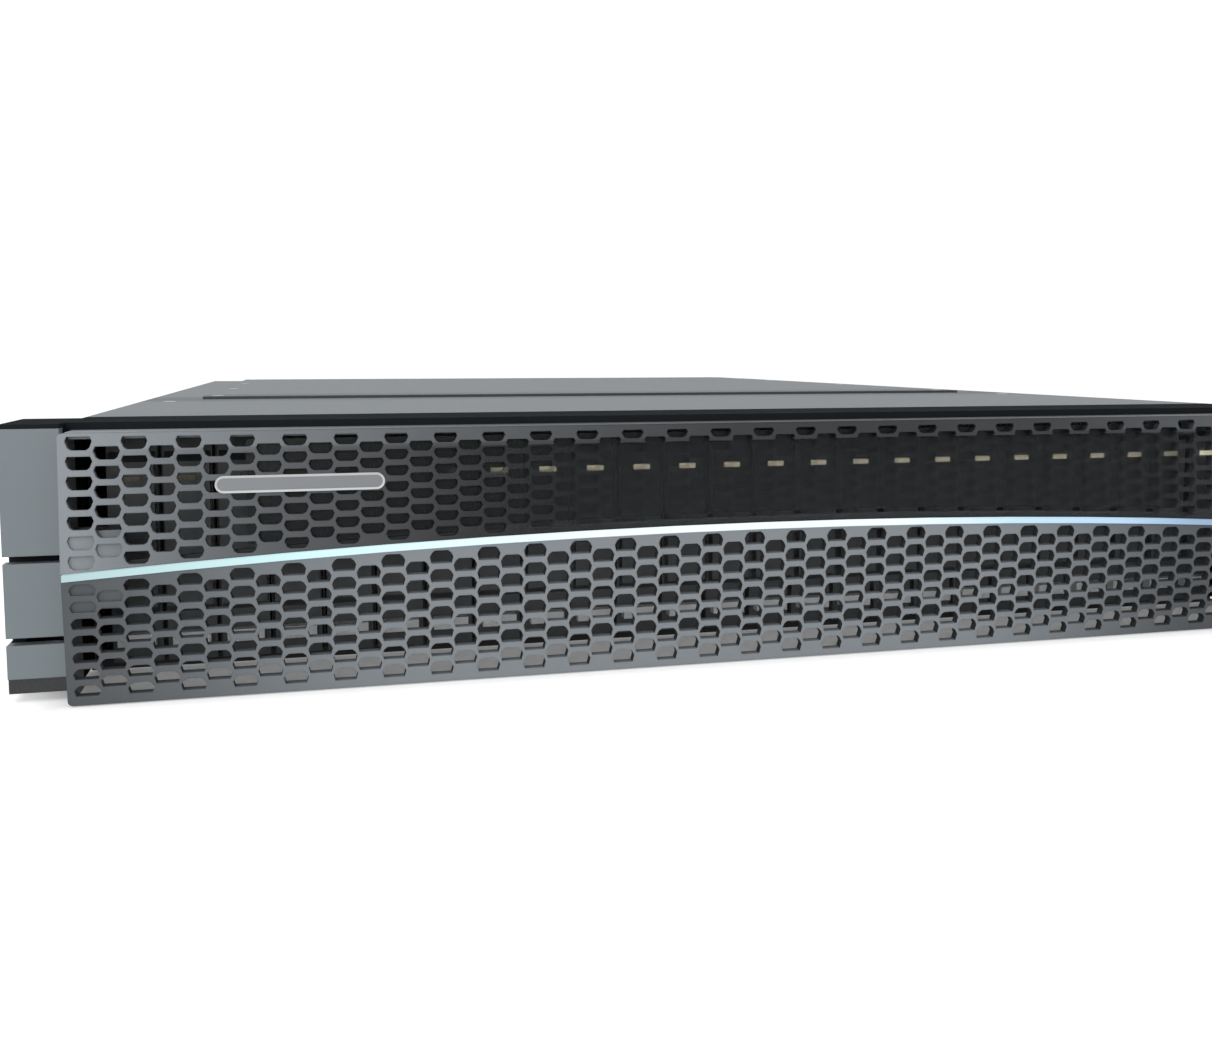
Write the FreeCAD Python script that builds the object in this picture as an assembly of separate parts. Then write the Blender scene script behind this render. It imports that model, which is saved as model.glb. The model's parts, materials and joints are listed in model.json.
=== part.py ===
import FreeCAD, Part
import math
import os

V = FreeCAD.Vector
FRONT_TO_BACK = V(0, 1, 0)
UP = V(0, 0, 1)

# All sizes are in millimetres. X runs to the right, Y to the rear, Z up.
# Y = 0 is the plane where the ears meet the rack, Z = 0 is the underside.

# Chassis
RACK_WIDTH = 482.6
EAR_WIDTH = 17.8
BODY_HEIGHT = 86.1
BODY_DEPTH = 562.0
SHEET = 1.2
SHELF = 1.0
FLANGE = 2.0
EAR_BOTTOM_Z = 2.5
RACK_HOLE_INSET = 8.75
RACK_HOLE_SPACING_Z = 44.45
RACK_HOLE_RADIUS = 3.4
RACK_DRIVER_RADIUS = 5.6
COVER_FRONT_Y = 6.0
COVER_GAP = 0.2
LID_FRONT_Y = 165.0
LID_REAR_INSET = 2.0
LID_SIDE_INSET = 24.0
LID_OVERLAP = 12.0
SCREW_HEAD_RADIUS = 2.8
SCREW_SHANK_RADIUS = 1.4
SCREW_CLEARANCE = 0.1
LID_SCREWS_A_SIDE = 4
COVER_SCREW_Y = 140.0

# Front frame and ears
FRAME_FRONT_Y = -28.0
FRAME_LIP = 3.0
FRAME_LIP_HEIGHT = 2.2
EAR_COVER = 4.8
EAR_SIDE_GAP = 0.4
EAR_TOP_DROP = 1.3
EAR_SLOT = 2.3
EAR_UPPER_Z = 45.0
EAR_LOWER_Z = 17.6
EAR_TOE_Z = 7.2
EAR_TOE_STEP = 1.0
RELEASE_STROKE = 3.0
RELEASE_STEM_WIDTH = 8.0
RELEASE_STEM_HEIGHT = 9.0
RELEASE_STEM_LENGTH = 12.0
RELEASE_STEM_Z = 34.5
POWER_BUTTON_RADIUS = 3.9
POWER_BUTTON_LENGTH = 10.0
POWER_BUTTON_PROUD = 0.6
POWER_BUTTON_STROKE = 1.5
POWER_BUTTON_DROP = 11.9
BUTTON_CLEARANCE = 0.3

# Bezel
BEZEL_SIDE_GAP = 0.3
BEZEL_DROP = 2.3
BEZEL_RIDGE_Y = -47.0
BEZEL_RIDGE_Z = 43.5
BEZEL_WALL = 2.0
BEZEL_BACK_GAP = 0.3
BEZEL_CORNER = 1.5
BEZEL_FOOT_CORNER = 1.5
UPPER_LEAN = 4.0
LOWER_LEAN = 4.0
GRILLE = 3.0
ARC_END_Z = 39.5
ARC_MIDDLE_Z = 47.4
LIGHT_HEIGHT = 2.0
LIGHT_PROUD = 0.5
LIGHT_GAP = 0.3
LIGHT_STRIP_DEPTH = 2.2
LIGHT_NECK_HEIGHT = 1.4
LIGHT_SEAT_GAP = 0.3
LIGHT_FLANGE = 2.0
LIGHT_FLANGE_DEPTH = 1.5
UPPER_COLUMN_PITCH = 7.76
LOWER_COLUMN_PITCH = 7.63
HOLE_EDGE = 5.0
HOLE_ROWS = 7
HOLE_ROW_RIB = 1.9
HOLE_WIDE_HALF = 3.2
HOLE_SHOULDER_HALF = 3.75
HOLE_ARCH_HALF = 3.05
HOLE_NARROW_HALF = 2.1
HOLE_ARCH_SHARE = 0.65
UPPER_SHOULDER_SHARE = 0.3
LOWER_SHOULDER_SHARE = 0.0
HOLE_LIGHT_RIM = 0.6
TOP_ROW = 3.0
BOTTOM_ROW = 4.4
INNER_ROW = 4.1
BLIND_DEPTH = 1.0
LOCK_BLOCK_WIDTH = 15.0
LOCK_BLOCK_LOW_Z = 29.2
LOCK_BLOCK_HIGH_Z = 53.2
LOCK_BLOCK_BACK_Y = -35.0
WINDOW = 2.0
WINDOW_SIDE = 53.2
WINDOW_RIM = 2.6
WINDOW_LIGHT_GAP = 1.4

# Drives and their cage
DRIVE_COUNT = 25
CAGE_SIDE = 6.05
CAGE_BOTTOM = 2.0
CAGE_TOP = 2.3
CAGE_DEPTH = 104.0
DIVIDER = 0.8
DRIVE_CLEARANCE = 0.45
GUIDE_CLEARANCE = 0.3
DRIVE_FRONT_Y = -8.0
DRIVE_FRONT_DEPTH = 10.0
DRIVE_LENGTH = 100.0
DRIVE_RAIL = 3.8
DRIVE_BODY_INSET = 0.4
DRIVE_LEVER_INSET = 0.6
DRIVE_LEVER_DEPTH = 5.5
DRIVE_LEVER_LOW_Z = 20.0
DRIVE_LEVER_DROP = 7.1
DRIVE_LEVER_CHAMFER = 3.0
RELEASE_BAR_INSET = 1.8
RELEASE_BAR_DEPTH = 4.0
RELEASE_BAR_LOW_Z = 9.5
RELEASE_BAR_HEIGHT = 4.0
GOLD_STRIP_WIDTH = 6.0
GOLD_STRIP_HEIGHT = 1.8
GOLD_STRIP_DEPTH = 0.5
GOLD_STRIP_DROP = 8.5
LIGHT_PIPE = 2.4
LIGHT_PIPE_DEPTH = 1.0
LIGHT_PIPE_OFFSET = 3.2
LIGHT_PIPE_DROP = 3.6

# Midplane and backup batteries
PLUG_GAP = 0.4
PLUG_DEPTH = 5.6
PLUG_WIDTH = 6.0
PLUG_LOW_Z = 32.0
PLUG_HEIGHT = 22.0
MIDPLANE = 2.6
MIDPLANE_SIDE_GAP = 7.3
MIDPLANE_VENT_WIDTH = 9.0
MIDPLANE_VENT_HEIGHT = 16.0
MIDPLANE_VENT_EDGE = 8.8
REAR_PLUG_DEPTH = 7.4
REAR_PLUG_WIDTH = 46.0
REAR_PLUG_PITCH = 62.0
REAR_PLUG_COUNT = 4
BUS_BAR = 2.0
BUS_BAR_HEIGHT = 36.0
BUS_BAR_LOW_Z = 22.0
BUS_BAR_SIDE_GAP = 2.3
BATTERY_SIDE_GAP = 2.0
BATTERY_BUS_GAP = 2.5
BATTERY_LENGTH = 124.0
BATTERY_TOP_GAP = 5.0
BATTERY_CHAMFER = 3.0

# Rear bays and the modules that slide in them
PSU_BAY_WIDTH = 70.1
BAY_CLEARANCE = 0.3
MODULE_FRONT_GAP = 8.4
REAR_FACE_INSET = 1.0
PANEL = 2.0
CASE = 1.0

# Levers of the controllers and power units
LEVER_THICKNESS = 5.0
LEVER_GAP = 0.5
LEVER_PIN_RADIUS = 1.25
LEVER_PIN_CLEARANCE = 0.1
LEVER_TAB = 1.5
LEVER_TAB_HALF = 4.0
LEVER_TAB_GAP = 0.3
LEVER_LIP = 3.0
LEVER_TOP_MARGIN = 0.3
CONTROLLER_LEVER_LENGTH = 78.0
CONTROLLER_LEVER_HEIGHT = 7.0
CONTROLLER_LEVER_INSET = 10.5
PSU_LEVER_LENGTH = 25.0
PSU_LEVER_HEIGHT = 10.0
PSU_LEVER_INSET = 6.0
PSU_LEVER_Z = 9.0

# Controllers
CASE_WALL_DROP = 3.0
PORT_WIDTH = 11.8
PORT_HEIGHT = 8.2
PORT_DEPTH = 15.0
PORT_WALL = 1.8
PORT_PITCH = 22.0
PORT_COUNT = 2
PORT_EDGE = 26.0
PORT_BAY_WIDTH = 91.4
BOARD = 1.6
BOARD_STAND = 3.0
BOARD_SIDE_GAP = 1.0
BOARD_FRONT_GAP = 6.0
STANDOFF = 6.0
BOARD_PLUG_HEIGHT = 14.0
SINK_MARGIN = 2.0
SINK_LENGTH = 96.0
SINK_BASE = 4.0
SINK_HEIGHT = 26.0
SINK_FINS = 14
SINK_FIN = 1.2
SINK_FRONT_GAP = 96.0
MEMORY_LENGTH = 133.0
MEMORY = 3.0
MEMORY_HEIGHT = 30.0
MEMORY_PITCH = 8.0
MEMORY_COUNT = 4
MEMORY_FRONT_GAP = 78.0

# Interface modules
IO_LENGTH = 160.0
IO_OPENING_CLEARANCE = 0.5
IO_FACE = 1.7
IO_FACE_RIM = 1.5
IO_FACE_GAP = 0.3
IO_LOW = 3.0
IO_EDGE = 5.0
IO_SLOT_GAP = 5.0
IO_LEVER_GAP = 0.75
IO_GUIDE = 6.0
CAGE_CAVITY_WIDTH = 18.6
CAGE_CAVITY_HEIGHT = 8.8
CAGE_WALL = 0.6
CAGE_LENGTH = 56.0
CAGE_OFFSET = 22.0
IO_SINK_MARGIN = 10.0
IO_SINK_LENGTH = 84.0
IO_SINK_HEIGHT = 16.0
IO_SINK_FINS = 12
IO_PLUG_MARGIN = 20.0
IO_PLUG_LENGTH = 8.0
IO_PLUG_HEIGHT = 11.0
THUMB_SCREW_RADIUS = 3.6
THUMB_SCREW_LENGTH = 5.0
THUMB_SCREW_INSET = 5.0

# Power units
PSU_FRONT_GAP = 0.4
FAN_FRAME_DEPTH = 16.0
FAN_FRAME_WALL = 1.5
FAN_TOP_GAP = 0.4
FAN_INLET_GAP = 0.9
FAN_TIP_GAP = 1.0
FAN_HUB_RADIUS = 10.0
FAN_HUB_DEPTH = 11.0
FAN_PIN_RADIUS = 2.0
FAN_PIN_CLEARANCE = 0.1
FAN_SPIDER = 2.0
FAN_SPIDER_ARM = 4.0
FAN_SPIDER_RADIUS = 11.0
FAN_END_GAP = 0.8
FAN_BLADES = 7
FAN_BLADE = 1.4
FAN_BLADE_WIDTH = 11.0
FAN_BLADE_PITCH = 35.0
FAN_ROOT_SINK = 1.0
VENT_RADIUS = 2.6
VENT_RIB = 1.0
INLET_WIDTH = 24.4
INLET_HEIGHT = 16.6
INLET_DEPTH = 18.0
INLET_WALL = 2.4
INLET_SIDE_GAP = 3.0
INLET_LOW_Z = 3.6
INLET_PIN_WIDTH = 2.0
INLET_PIN_HEIGHT = 4.0
INLET_PIN_LENGTH = 8.0
INLET_PIN_SPACING = 7.0
PSU_BOARD_HEIGHT = 3.0
PSU_COIL_WIDTH = 34.0
PSU_COIL_LENGTH = 42.0
PSU_COIL_HEIGHT = 32.0
PSU_COIL_PITCH = 70.0
PSU_COIL_COUNT = 3
PSU_COIL_FRONT_GAP = 30.0

# Places that follow from the sizes above
half_rack = RACK_WIDTH / 2
half_body = half_rack - EAR_WIDTH
rack_hole_x = half_rack - RACK_HOLE_INSET
lid_base_z = BODY_HEIGHT - SHEET
cover_base_z = lid_base_z - SHEET
wall_inner_x = half_body - SHEET
middle_z = BODY_HEIGHT / 2
bay_wall_x = wall_inner_x - PSU_BAY_WIDTH
controller_half = bay_wall_x - SHEET - BAY_CLEARANCE
shelf_low_z = (SHEET + cover_base_z - SHELF) / 2
controller_height = shelf_low_z - SHEET - 2 * BAY_CLEARANCE
lower_controller_z = SHEET + BAY_CLEARANCE
upper_controller_z = shelf_low_z + SHELF + BAY_CLEARANCE
rear_face_y = BODY_DEPTH - REAR_FACE_INSET
panel_front_y = rear_face_y - PANEL

drive_pitch = (2 * wall_inner_x - 2 * CAGE_SIDE) / DRIVE_COUNT
drive_half = (drive_pitch - DIVIDER) / 2 - DRIVE_CLEARANCE
drive_bottom_z = SHEET + CAGE_BOTTOM + GUIDE_CLEARANCE
drive_top_z = cover_base_z - CAGE_TOP - GUIDE_CLEARANCE
drive_body_y = DRIVE_FRONT_Y + DRIVE_FRONT_DEPTH
drive_back_y = drive_body_y + DRIVE_LENGTH
midplane_y = drive_back_y + PLUG_GAP + PLUG_DEPTH
midplane_back_y = midplane_y + MIDPLANE
module_front_y = midplane_back_y + MODULE_FRONT_GAP
battery_back_y = module_front_y + BATTERY_LENGTH

bezel_half = half_body - BEZEL_SIDE_GAP
bezel_top_z = lid_base_z - BEZEL_DROP
bezel_back_y = FRAME_FRONT_Y - BEZEL_BACK_GAP
upper_lean = math.radians(UPPER_LEAN)
lower_lean = math.radians(LOWER_LEAN)
arc_rise = ARC_MIDDLE_Z - ARC_END_Z
arc_radius = (bezel_half ** 2 + arc_rise ** 2) / (2 * arc_rise)
window_half = bezel_half - WINDOW_SIDE
light_edge = LIGHT_HEIGHT / 2 + LIGHT_GAP
lock_inner_x = bezel_half - BEZEL_WALL - LOCK_BLOCK_WIDTH
light_flange_half = lock_inner_x - LIGHT_SEAT_GAP
ear_inner_x = half_body + EAR_SIDE_GAP
ear_cover_back_y = FRAME_FRONT_Y - RELEASE_STROKE - BUTTON_CLEARANCE
ear_front_y = ear_cover_back_y - EAR_COVER
ear_top_z = lid_base_z - EAR_TOP_DROP
ear_middle_x = (ear_inner_x + half_rack) / 2
power_button_z = lid_base_z - POWER_BUTTON_DROP

drive_lever_high_z = drive_top_z - DRIVE_LEVER_DROP
gold_strip_z = drive_lever_high_z - GOLD_STRIP_DROP
light_pipe_z = drive_top_z - LIGHT_PIPE_DROP

lever_rise = controller_height - LEVER_TOP_MARGIN - LEVER_TAB - LEVER_TAB_GAP - CONTROLLER_LEVER_HEIGHT
io_opening_low = IO_LOW - IO_OPENING_CLEARANCE
io_width = (2 * controller_half - PORT_BAY_WIDTH - IO_EDGE - IO_SLOT_GAP) / 2
io_height = lever_rise - LEVER_TAB_GAP - LEVER_TAB - IO_LEVER_GAP - IO_FACE_RIM - IO_LOW
board_half = controller_half - CASE - BOARD_SIDE_GAP
memory_group = MEMORY_COUNT * MEMORY_PITCH
sink_width = board_half - 2 * memory_group - 2 * SINK_MARGIN
sink_x = SINK_MARGIN + memory_group + sink_width / 2

inlet_low_z = lower_controller_z + CASE + INLET_LOW_Z
fan_top_z = cover_base_z - BAY_CLEARANCE - CASE - FAN_TOP_GAP
fan_frame_size = fan_top_z - FAN_INLET_GAP - INLET_WALL - INLET_HEIGHT - inlet_low_z
fan_centre_z = fan_top_z - fan_frame_size / 2
fan_bore_radius = fan_frame_size / 2 - FAN_FRAME_WALL
fan_blade_radius = fan_bore_radius - FAN_TIP_GAP


def block(x0, x1, y0, y1, z0, z1):
    """A box between two opposite corners, in either order."""
    corner = V(min(x0, x1), min(y0, y1), min(z0, z1))
    return Part.makeBox(abs(x1 - x0), abs(y1 - y0), abs(z1 - z0), corner)


def prism_along_x(profile, x0, x1):
    """A prism along X over a closed profile of (y, z) points."""
    corners = [V(x0, y, z) for y, z in profile]
    face = Part.Face(Part.makePolygon(corners + corners[:1]))
    return face.extrude(V(x1 - x0, 0, 0))


def rod_along_y(radius, x, z, y0, y1):
    """A round rod along Y."""
    return Part.makeCylinder(radius, y1 - y0, V(x, y0, z), FRONT_TO_BACK)


def rod_along_z(radius, x, y, z0, z1):
    """A round rod along Z."""
    return Part.makeCylinder(radius, z1 - z0, V(x, y, z0), UP)


def window_wire(x0, x1, z0, z1):
    """A closed rectangle in the plane Y = 0."""
    corners = [V(x0, 0, z0), V(x1, 0, z0), V(x1, 0, z1), V(x0, 0, z1)]
    return Part.makePolygon(corners + corners[:1])


def perforated_sheet(outline, holes, thickness):
    """A sheet drawn in the plane Y = 0, pierced by the given wires."""
    face = Part.makeFace([outline] + holes, "Part::FaceMakerBullseye")
    return face.extrude(FRONT_TO_BACK * thickness)


def moved(shape, x, y, z):
    """The shape carried by an offset."""
    shape.translate(V(x, y, z))
    return shape


def fused(solids):
    """One clean solid out of several that meet."""
    return solids[0].multiFuse(solids[1:]).removeSplitter()


def export(name, solids):
    """Writes one node of the assembly."""
    shape = solids[0] if len(solids) == 1 else Part.makeCompound(solids)
    shape.exportStep("parts/" + name + ".step")


def rack_hole_heights():
    """Heights of the two rack screws in one ear."""
    return [middle_z - RACK_HOLE_SPACING_Z / 2, middle_z + RACK_HOLE_SPACING_Z / 2]


# Chassis

def rack_flange(side):
    """The steel tab that bolts to the rack post."""
    tab = block(side * half_body, side * half_rack, -FLANGE, 0, EAR_BOTTOM_Z, lid_base_z)
    for z in rack_hole_heights():
        tab = tab.cut(rod_along_y(RACK_HOLE_RADIUS, side * rack_hole_x, z, -FLANGE, 0))
    return tab


def chassis_tray():
    """Base, side walls, flanges, walls of the rear bays and the controller shelf."""
    solids = [block(-half_body, half_body, -FLANGE, BODY_DEPTH, 0, SHEET)]
    for side in (-1, 1):
        outer = side * half_body
        inner = side * wall_inner_x
        bay_outer = side * bay_wall_x
        bay_inner = side * (bay_wall_x - SHEET)
        solids.append(block(inner, outer, -FLANGE, BODY_DEPTH, SHEET, cover_base_z))
        solids.append(rack_flange(side))
        solids.append(block(bay_inner, bay_outer, module_front_y, BODY_DEPTH, SHEET, cover_base_z))
    shelf_half = bay_wall_x - SHEET
    shelf = block(-shelf_half, shelf_half, module_front_y, BODY_DEPTH, shelf_low_z, shelf_low_z + SHELF)
    return solids + [shelf]


def lid_screw_places():
    """Centres of the screws along both sides of the lid."""
    x = half_body - LID_SIDE_INSET - LID_OVERLAP / 2
    first = LID_FRONT_Y + LID_OVERLAP
    last = BODY_DEPTH - LID_REAR_INSET - LID_OVERLAP
    step = (last - first) / (LID_SCREWS_A_SIDE - 1)
    return [(side * x, first + step * i) for side in (-1, 1) for i in range(LID_SCREWS_A_SIDE)]


def cover_screw_places():
    """Centres of the two screws at the front of the top cover."""
    x = half_body - LID_SIDE_INSET / 2
    return [(-x, COVER_SCREW_Y), (x, COVER_SCREW_Y)]


def countersink(x, y, top_z, extra):
    """A countersunk head one sheet deep, with a shank through one more sheet."""
    small = SCREW_SHANK_RADIUS + extra
    large = SCREW_HEAD_RADIUS + extra
    head = Part.makeCone(small, large, SHEET, V(x, y, top_z - SHEET), UP)
    shank = rod_along_z(small, x, y, top_z - 2 * SHEET, top_z - SHEET)
    return head.fuse(shank)


def cover_screws():
    """Countersunk screws of the lid and of the top cover."""
    solids = [countersink(x, y, BODY_HEIGHT, 0) for x, y in lid_screw_places()]
    solids += [countersink(x, y, lid_base_z, 0) for x, y in cover_screw_places()]
    return [solid.removeSplitter() for solid in solids]


def top_cover():
    """The top sheet, with the service opening under the lid."""
    sheet = block(-half_body, half_body, COVER_FRONT_Y, BODY_DEPTH, cover_base_z, lid_base_z)
    opening_half = half_body - LID_SIDE_INSET - LID_OVERLAP
    opening_front = LID_FRONT_Y + 2 * LID_OVERLAP
    opening_back = BODY_DEPTH - LID_REAR_INSET - 2 * LID_OVERLAP
    cuts = [block(-opening_half, opening_half, opening_front, opening_back, cover_base_z, lid_base_z)]
    cuts += [countersink(x, y, lid_base_z, SCREW_CLEARANCE) for x, y in cover_screw_places()]
    cuts += [countersink(x, y, BODY_HEIGHT, SCREW_CLEARANCE) for x, y in lid_screw_places()]
    return [sheet.cut(cuts)]


def rear_lid():
    """The raised lid over the service opening."""
    half = half_body - LID_SIDE_INSET
    back = BODY_DEPTH - LID_REAR_INSET
    sheet = block(-half, half, LID_FRONT_Y, back, lid_base_z, BODY_HEIGHT)
    return [sheet.cut([countersink(x, y, BODY_HEIGHT, SCREW_CLEARANCE) for x, y in lid_screw_places()])]


# Front frame and ears

def ear_housing(side):
    """The black block behind and over an ear cover, with pockets for the stem and the rack screws.

    It stands ahead of the frame above and below the release button, which leaves the button its stroke.
    """
    middle = side * ear_middle_x
    inner = side * wall_inner_x
    outer = side * half_rack
    back = -FLANGE
    body = block(inner, outer, FRAME_FRONT_Y, back, EAR_BOTTOM_Z, lid_base_z)
    toe_front = ear_front_y + EAR_TOE_STEP
    toe = block(side * ear_inner_x, outer, toe_front, FRAME_FRONT_Y, EAR_BOTTOM_Z, EAR_TOE_Z)
    low_nose = block(side * ear_inner_x, outer, ear_cover_back_y, FRAME_FRONT_Y, EAR_TOE_Z, EAR_LOWER_Z)
    high_nose = block(side * ear_inner_x, outer, ear_cover_back_y, FRAME_FRONT_Y, EAR_UPPER_Z, ear_top_z)
    cap = block(side * ear_inner_x, outer, ear_front_y, FRAME_FRONT_Y, ear_top_z, lid_base_z)
    stem_half = RELEASE_STEM_WIDTH / 2 + BUTTON_CLEARANCE
    stem_rise = RELEASE_STEM_HEIGHT / 2 + BUTTON_CLEARANCE
    stem_end_y = ear_cover_back_y + RELEASE_STEM_LENGTH + RELEASE_STROKE + BUTTON_CLEARANCE
    cuts = [block(middle - stem_half, middle + stem_half, FRAME_FRONT_Y, stem_end_y,
                  RELEASE_STEM_Z - stem_rise, RELEASE_STEM_Z + stem_rise)]
    for z in rack_hole_heights():
        cuts.append(rod_along_y(RACK_DRIVER_RADIUS, side * rack_hole_x, z, ear_cover_back_y, back))
    if side > 0:
        pocket_end = ear_front_y - POWER_BUTTON_PROUD + POWER_BUTTON_LENGTH
        pocket_end += POWER_BUTTON_STROKE + BUTTON_CLEARANCE
        radius = POWER_BUTTON_RADIUS + BUTTON_CLEARANCE
        cuts.append(rod_along_y(radius, middle, power_button_z, ear_cover_back_y, pocket_end))
    return fused([body, toe, low_nose, high_nose, cap]).cut(cuts)


def front_frame():
    """The black hood over the drive fronts and the two ear housings, in one moulding."""
    hood_back = COVER_FRONT_Y - COVER_GAP
    hood = block(-half_body, half_body, FRAME_FRONT_Y, hood_back, cover_base_z, lid_base_z)
    lip_low = cover_base_z - FRAME_LIP_HEIGHT
    lip_back = FRAME_FRONT_Y + FRAME_LIP
    lip = block(-wall_inner_x, wall_inner_x, FRAME_FRONT_Y, lip_back, lip_low, cover_base_z)
    return [fused([hood, lip, ear_housing(-1), ear_housing(1)])]


def ear_covers():
    """The grey covers above and below the release buttons."""
    solids = []
    for side in (-1, 1):
        inner = side * ear_inner_x
        outer = side * half_rack
        upper = block(inner, outer, ear_front_y, ear_cover_back_y, EAR_UPPER_Z, ear_top_z)
        if side > 0:
            radius = POWER_BUTTON_RADIUS + BUTTON_CLEARANCE
            hole = rod_along_y(radius, ear_middle_x, power_button_z, ear_front_y, ear_cover_back_y)
            upper = upper.cut(hole)
        solids.append(upper)
        solids.append(block(inner, outer, ear_front_y, ear_cover_back_y, EAR_TOE_Z, EAR_LOWER_Z))
    return solids


def release_button(side):
    """The middle ear cover, which is pressed to free the bezel."""
    middle = side * ear_middle_x
    low = EAR_LOWER_Z + EAR_SLOT
    high = EAR_UPPER_Z - EAR_SLOT
    cap_back = ear_cover_back_y - BUTTON_CLEARANCE
    cap = block(side * ear_inner_x, side * half_rack, ear_front_y, cap_back, low, high)
    half = RELEASE_STEM_WIDTH / 2
    rise = RELEASE_STEM_HEIGHT / 2
    stem_end = ear_cover_back_y + RELEASE_STEM_LENGTH
    stem = block(middle - half, middle + half, cap_back, stem_end,
                 RELEASE_STEM_Z - rise, RELEASE_STEM_Z + rise)
    return [fused([cap, stem])]


def power_button():
    """The round button in the right ear."""
    front = ear_front_y - POWER_BUTTON_PROUD
    back = front + POWER_BUTTON_LENGTH
    return [rod_along_y(POWER_BUTTON_RADIUS, ear_middle_x, power_button_z, front, back)]


# Bezel

def arc_height(x):
    """Height of the middle of the light bar above the underside."""
    return ARC_MIDDLE_Z - arc_radius + math.sqrt(arc_radius ** 2 - x ** 2)


def arc_edge(half, offset, level):
    """An edge along the light bar's arc in the plane Y = 0, from left to right."""
    ends = arc_height(half) + offset - level
    left = V(-half, 0, ends)
    middle = V(0, 0, ARC_MIDDLE_Z + offset - level)
    right = V(half, 0, ends)
    return Part.Arc(left, middle, right).toShape()


def panel_outline(half, arc_offset, far_z, corner):
    """A panel between the arc and a straight edge, measured from the ridge, with round corners."""
    turn = math.copysign(corner, far_z)
    slant = corner * (1 - math.sqrt(0.5))
    nip = math.copysign(slant, far_z)
    arc = arc_edge(half, arc_offset, BEZEL_RIDGE_Z)
    left = arc.Vertexes[0].Point
    right = arc.Vertexes[1].Point
    edges = [arc, Part.LineSegment(right, V(half, 0, far_z - turn)).toShape()]
    edges.append(Part.Arc(V(half, 0, far_z - turn), V(half - slant, 0, far_z - nip),
                          V(half - corner, 0, far_z)).toShape())
    edges.append(Part.LineSegment(V(half - corner, 0, far_z), V(corner - half, 0, far_z)).toShape())
    edges.append(Part.Arc(V(corner - half, 0, far_z), V(slant - half, 0, far_z - nip),
                          V(-half, 0, far_z - turn)).toShape())
    edges.append(Part.LineSegment(V(-half, 0, far_z - turn), left).toShape())
    return Part.Wire(edges)


def vent_wire(x, z, half, flip, shoulder_share):
    """One vent of a half height, like a hexagon with an arched end.

    The arched end is low where flip is 1 and high where it is -1.
    """
    right = [
        (HOLE_WIDE_HALF, half),
        (HOLE_SHOULDER_HALF, half * shoulder_share),
        (HOLE_ARCH_HALF, -half * HOLE_ARCH_SHARE),
        (HOLE_NARROW_HALF, -half),
    ]
    left = [(-dx, dz) for dx, dz in reversed(right)]
    points = [V(x + dx, 0, z + flip * dz) for dx, dz in right + left]
    return Part.makePolygon(points + points[:1])


def vent_places(outer_z, side, column_pitch):
    """Staggered vents between a straight outer row and the light bar, as (x, z, half height).

    The side is 1 above the light bar and -1 below it.
    """
    columns = int(2 * (bezel_half - HOLE_EDGE) / column_pitch) + 1
    places = []
    for column in range(columns):
        x = (column - (columns - 1) / 2) * column_pitch
        inner_z = arc_height(x) + side * INNER_ROW
        pitch = abs(outer_z - inner_z) / (HOLE_ROWS - 1)
        odd = column % 2
        for row in range(HOLE_ROWS - odd):
            z = outer_z - side * pitch * (row + odd / 2)
            room = abs(z - arc_height(x)) - light_edge - HOLE_LIGHT_RIM
            half = min((pitch - HOLE_ROW_RIB) / 2, room)
            places.append((x, z, half))
    return places


def is_blind(x, z):
    """True where the lock block closes a vent from behind."""
    return abs(x) > lock_inner_x and LOCK_BLOCK_LOW_Z < z < LOCK_BLOCK_HIGH_Z


def leaned(shape, angle):
    """A panel drawn from the ridge, leaned back and set in its place."""
    shape.rotate(V(0, 0, 0), V(1, 0, 0), angle)
    return moved(shape, 0, BEZEL_RIDGE_Y, BEZEL_RIDGE_Z)


def grille(outer_z, side, column_pitch, shoulder_share, far_z, lean, corner):
    """A leaning panel full of vents, with shallow blind ones in front of the lock blocks."""
    through = []
    blind = []
    for x, z, half in vent_places(outer_z, side, column_pitch):
        group = blind if is_blind(x, z) else through
        group.append(vent_wire(x, z - BEZEL_RIDGE_Z, half, side, shoulder_share))
    outline = panel_outline(bezel_half, side * light_edge, far_z, corner)
    sheet = perforated_sheet(outline, through, GRILLE)
    sheet = sheet.cut([Part.Face(wire).extrude(FRONT_TO_BACK * BLIND_DEPTH) for wire in blind])
    return [leaned(sheet, lean)]


def upper_grille():
    """The panel above the light bar."""
    far = (bezel_top_z - BEZEL_RIDGE_Z) / math.cos(upper_lean)
    return grille(bezel_top_z - TOP_ROW, 1, UPPER_COLUMN_PITCH, UPPER_SHOULDER_SHARE, far, -UPPER_LEAN,
                  BEZEL_CORNER)


def lower_grille():
    """The panel below the light bar."""
    far = -BEZEL_RIDGE_Z / math.cos(lower_lean)
    return grille(BOTTOM_ROW, -1, LOWER_COLUMN_PITCH, LOWER_SHOULDER_SHARE, far, LOWER_LEAN,
                  BEZEL_FOOT_CORNER)


def upper_back_y(z):
    """Rear face of the upper grille at a height."""
    return BEZEL_RIDGE_Y + GRILLE / math.cos(upper_lean) + (z - BEZEL_RIDGE_Z) * math.tan(upper_lean)


def lower_back_y(z):
    """Rear face of the lower grille at a height."""
    return BEZEL_RIDGE_Y + GRILLE / math.cos(lower_lean) + (BEZEL_RIDGE_Z - z) * math.tan(lower_lean)


def ridge_profile(low_z, high_z, back_y):
    """A profile behind both grilles, as (y, z) points."""
    ridge_y = max(upper_back_y(BEZEL_RIDGE_Z), lower_back_y(BEZEL_RIDGE_Z))
    return [(lower_back_y(low_z), low_z), (ridge_y, BEZEL_RIDGE_Z), (upper_back_y(high_z), high_z),
            (back_y, high_z), (back_y, low_z)]


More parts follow.
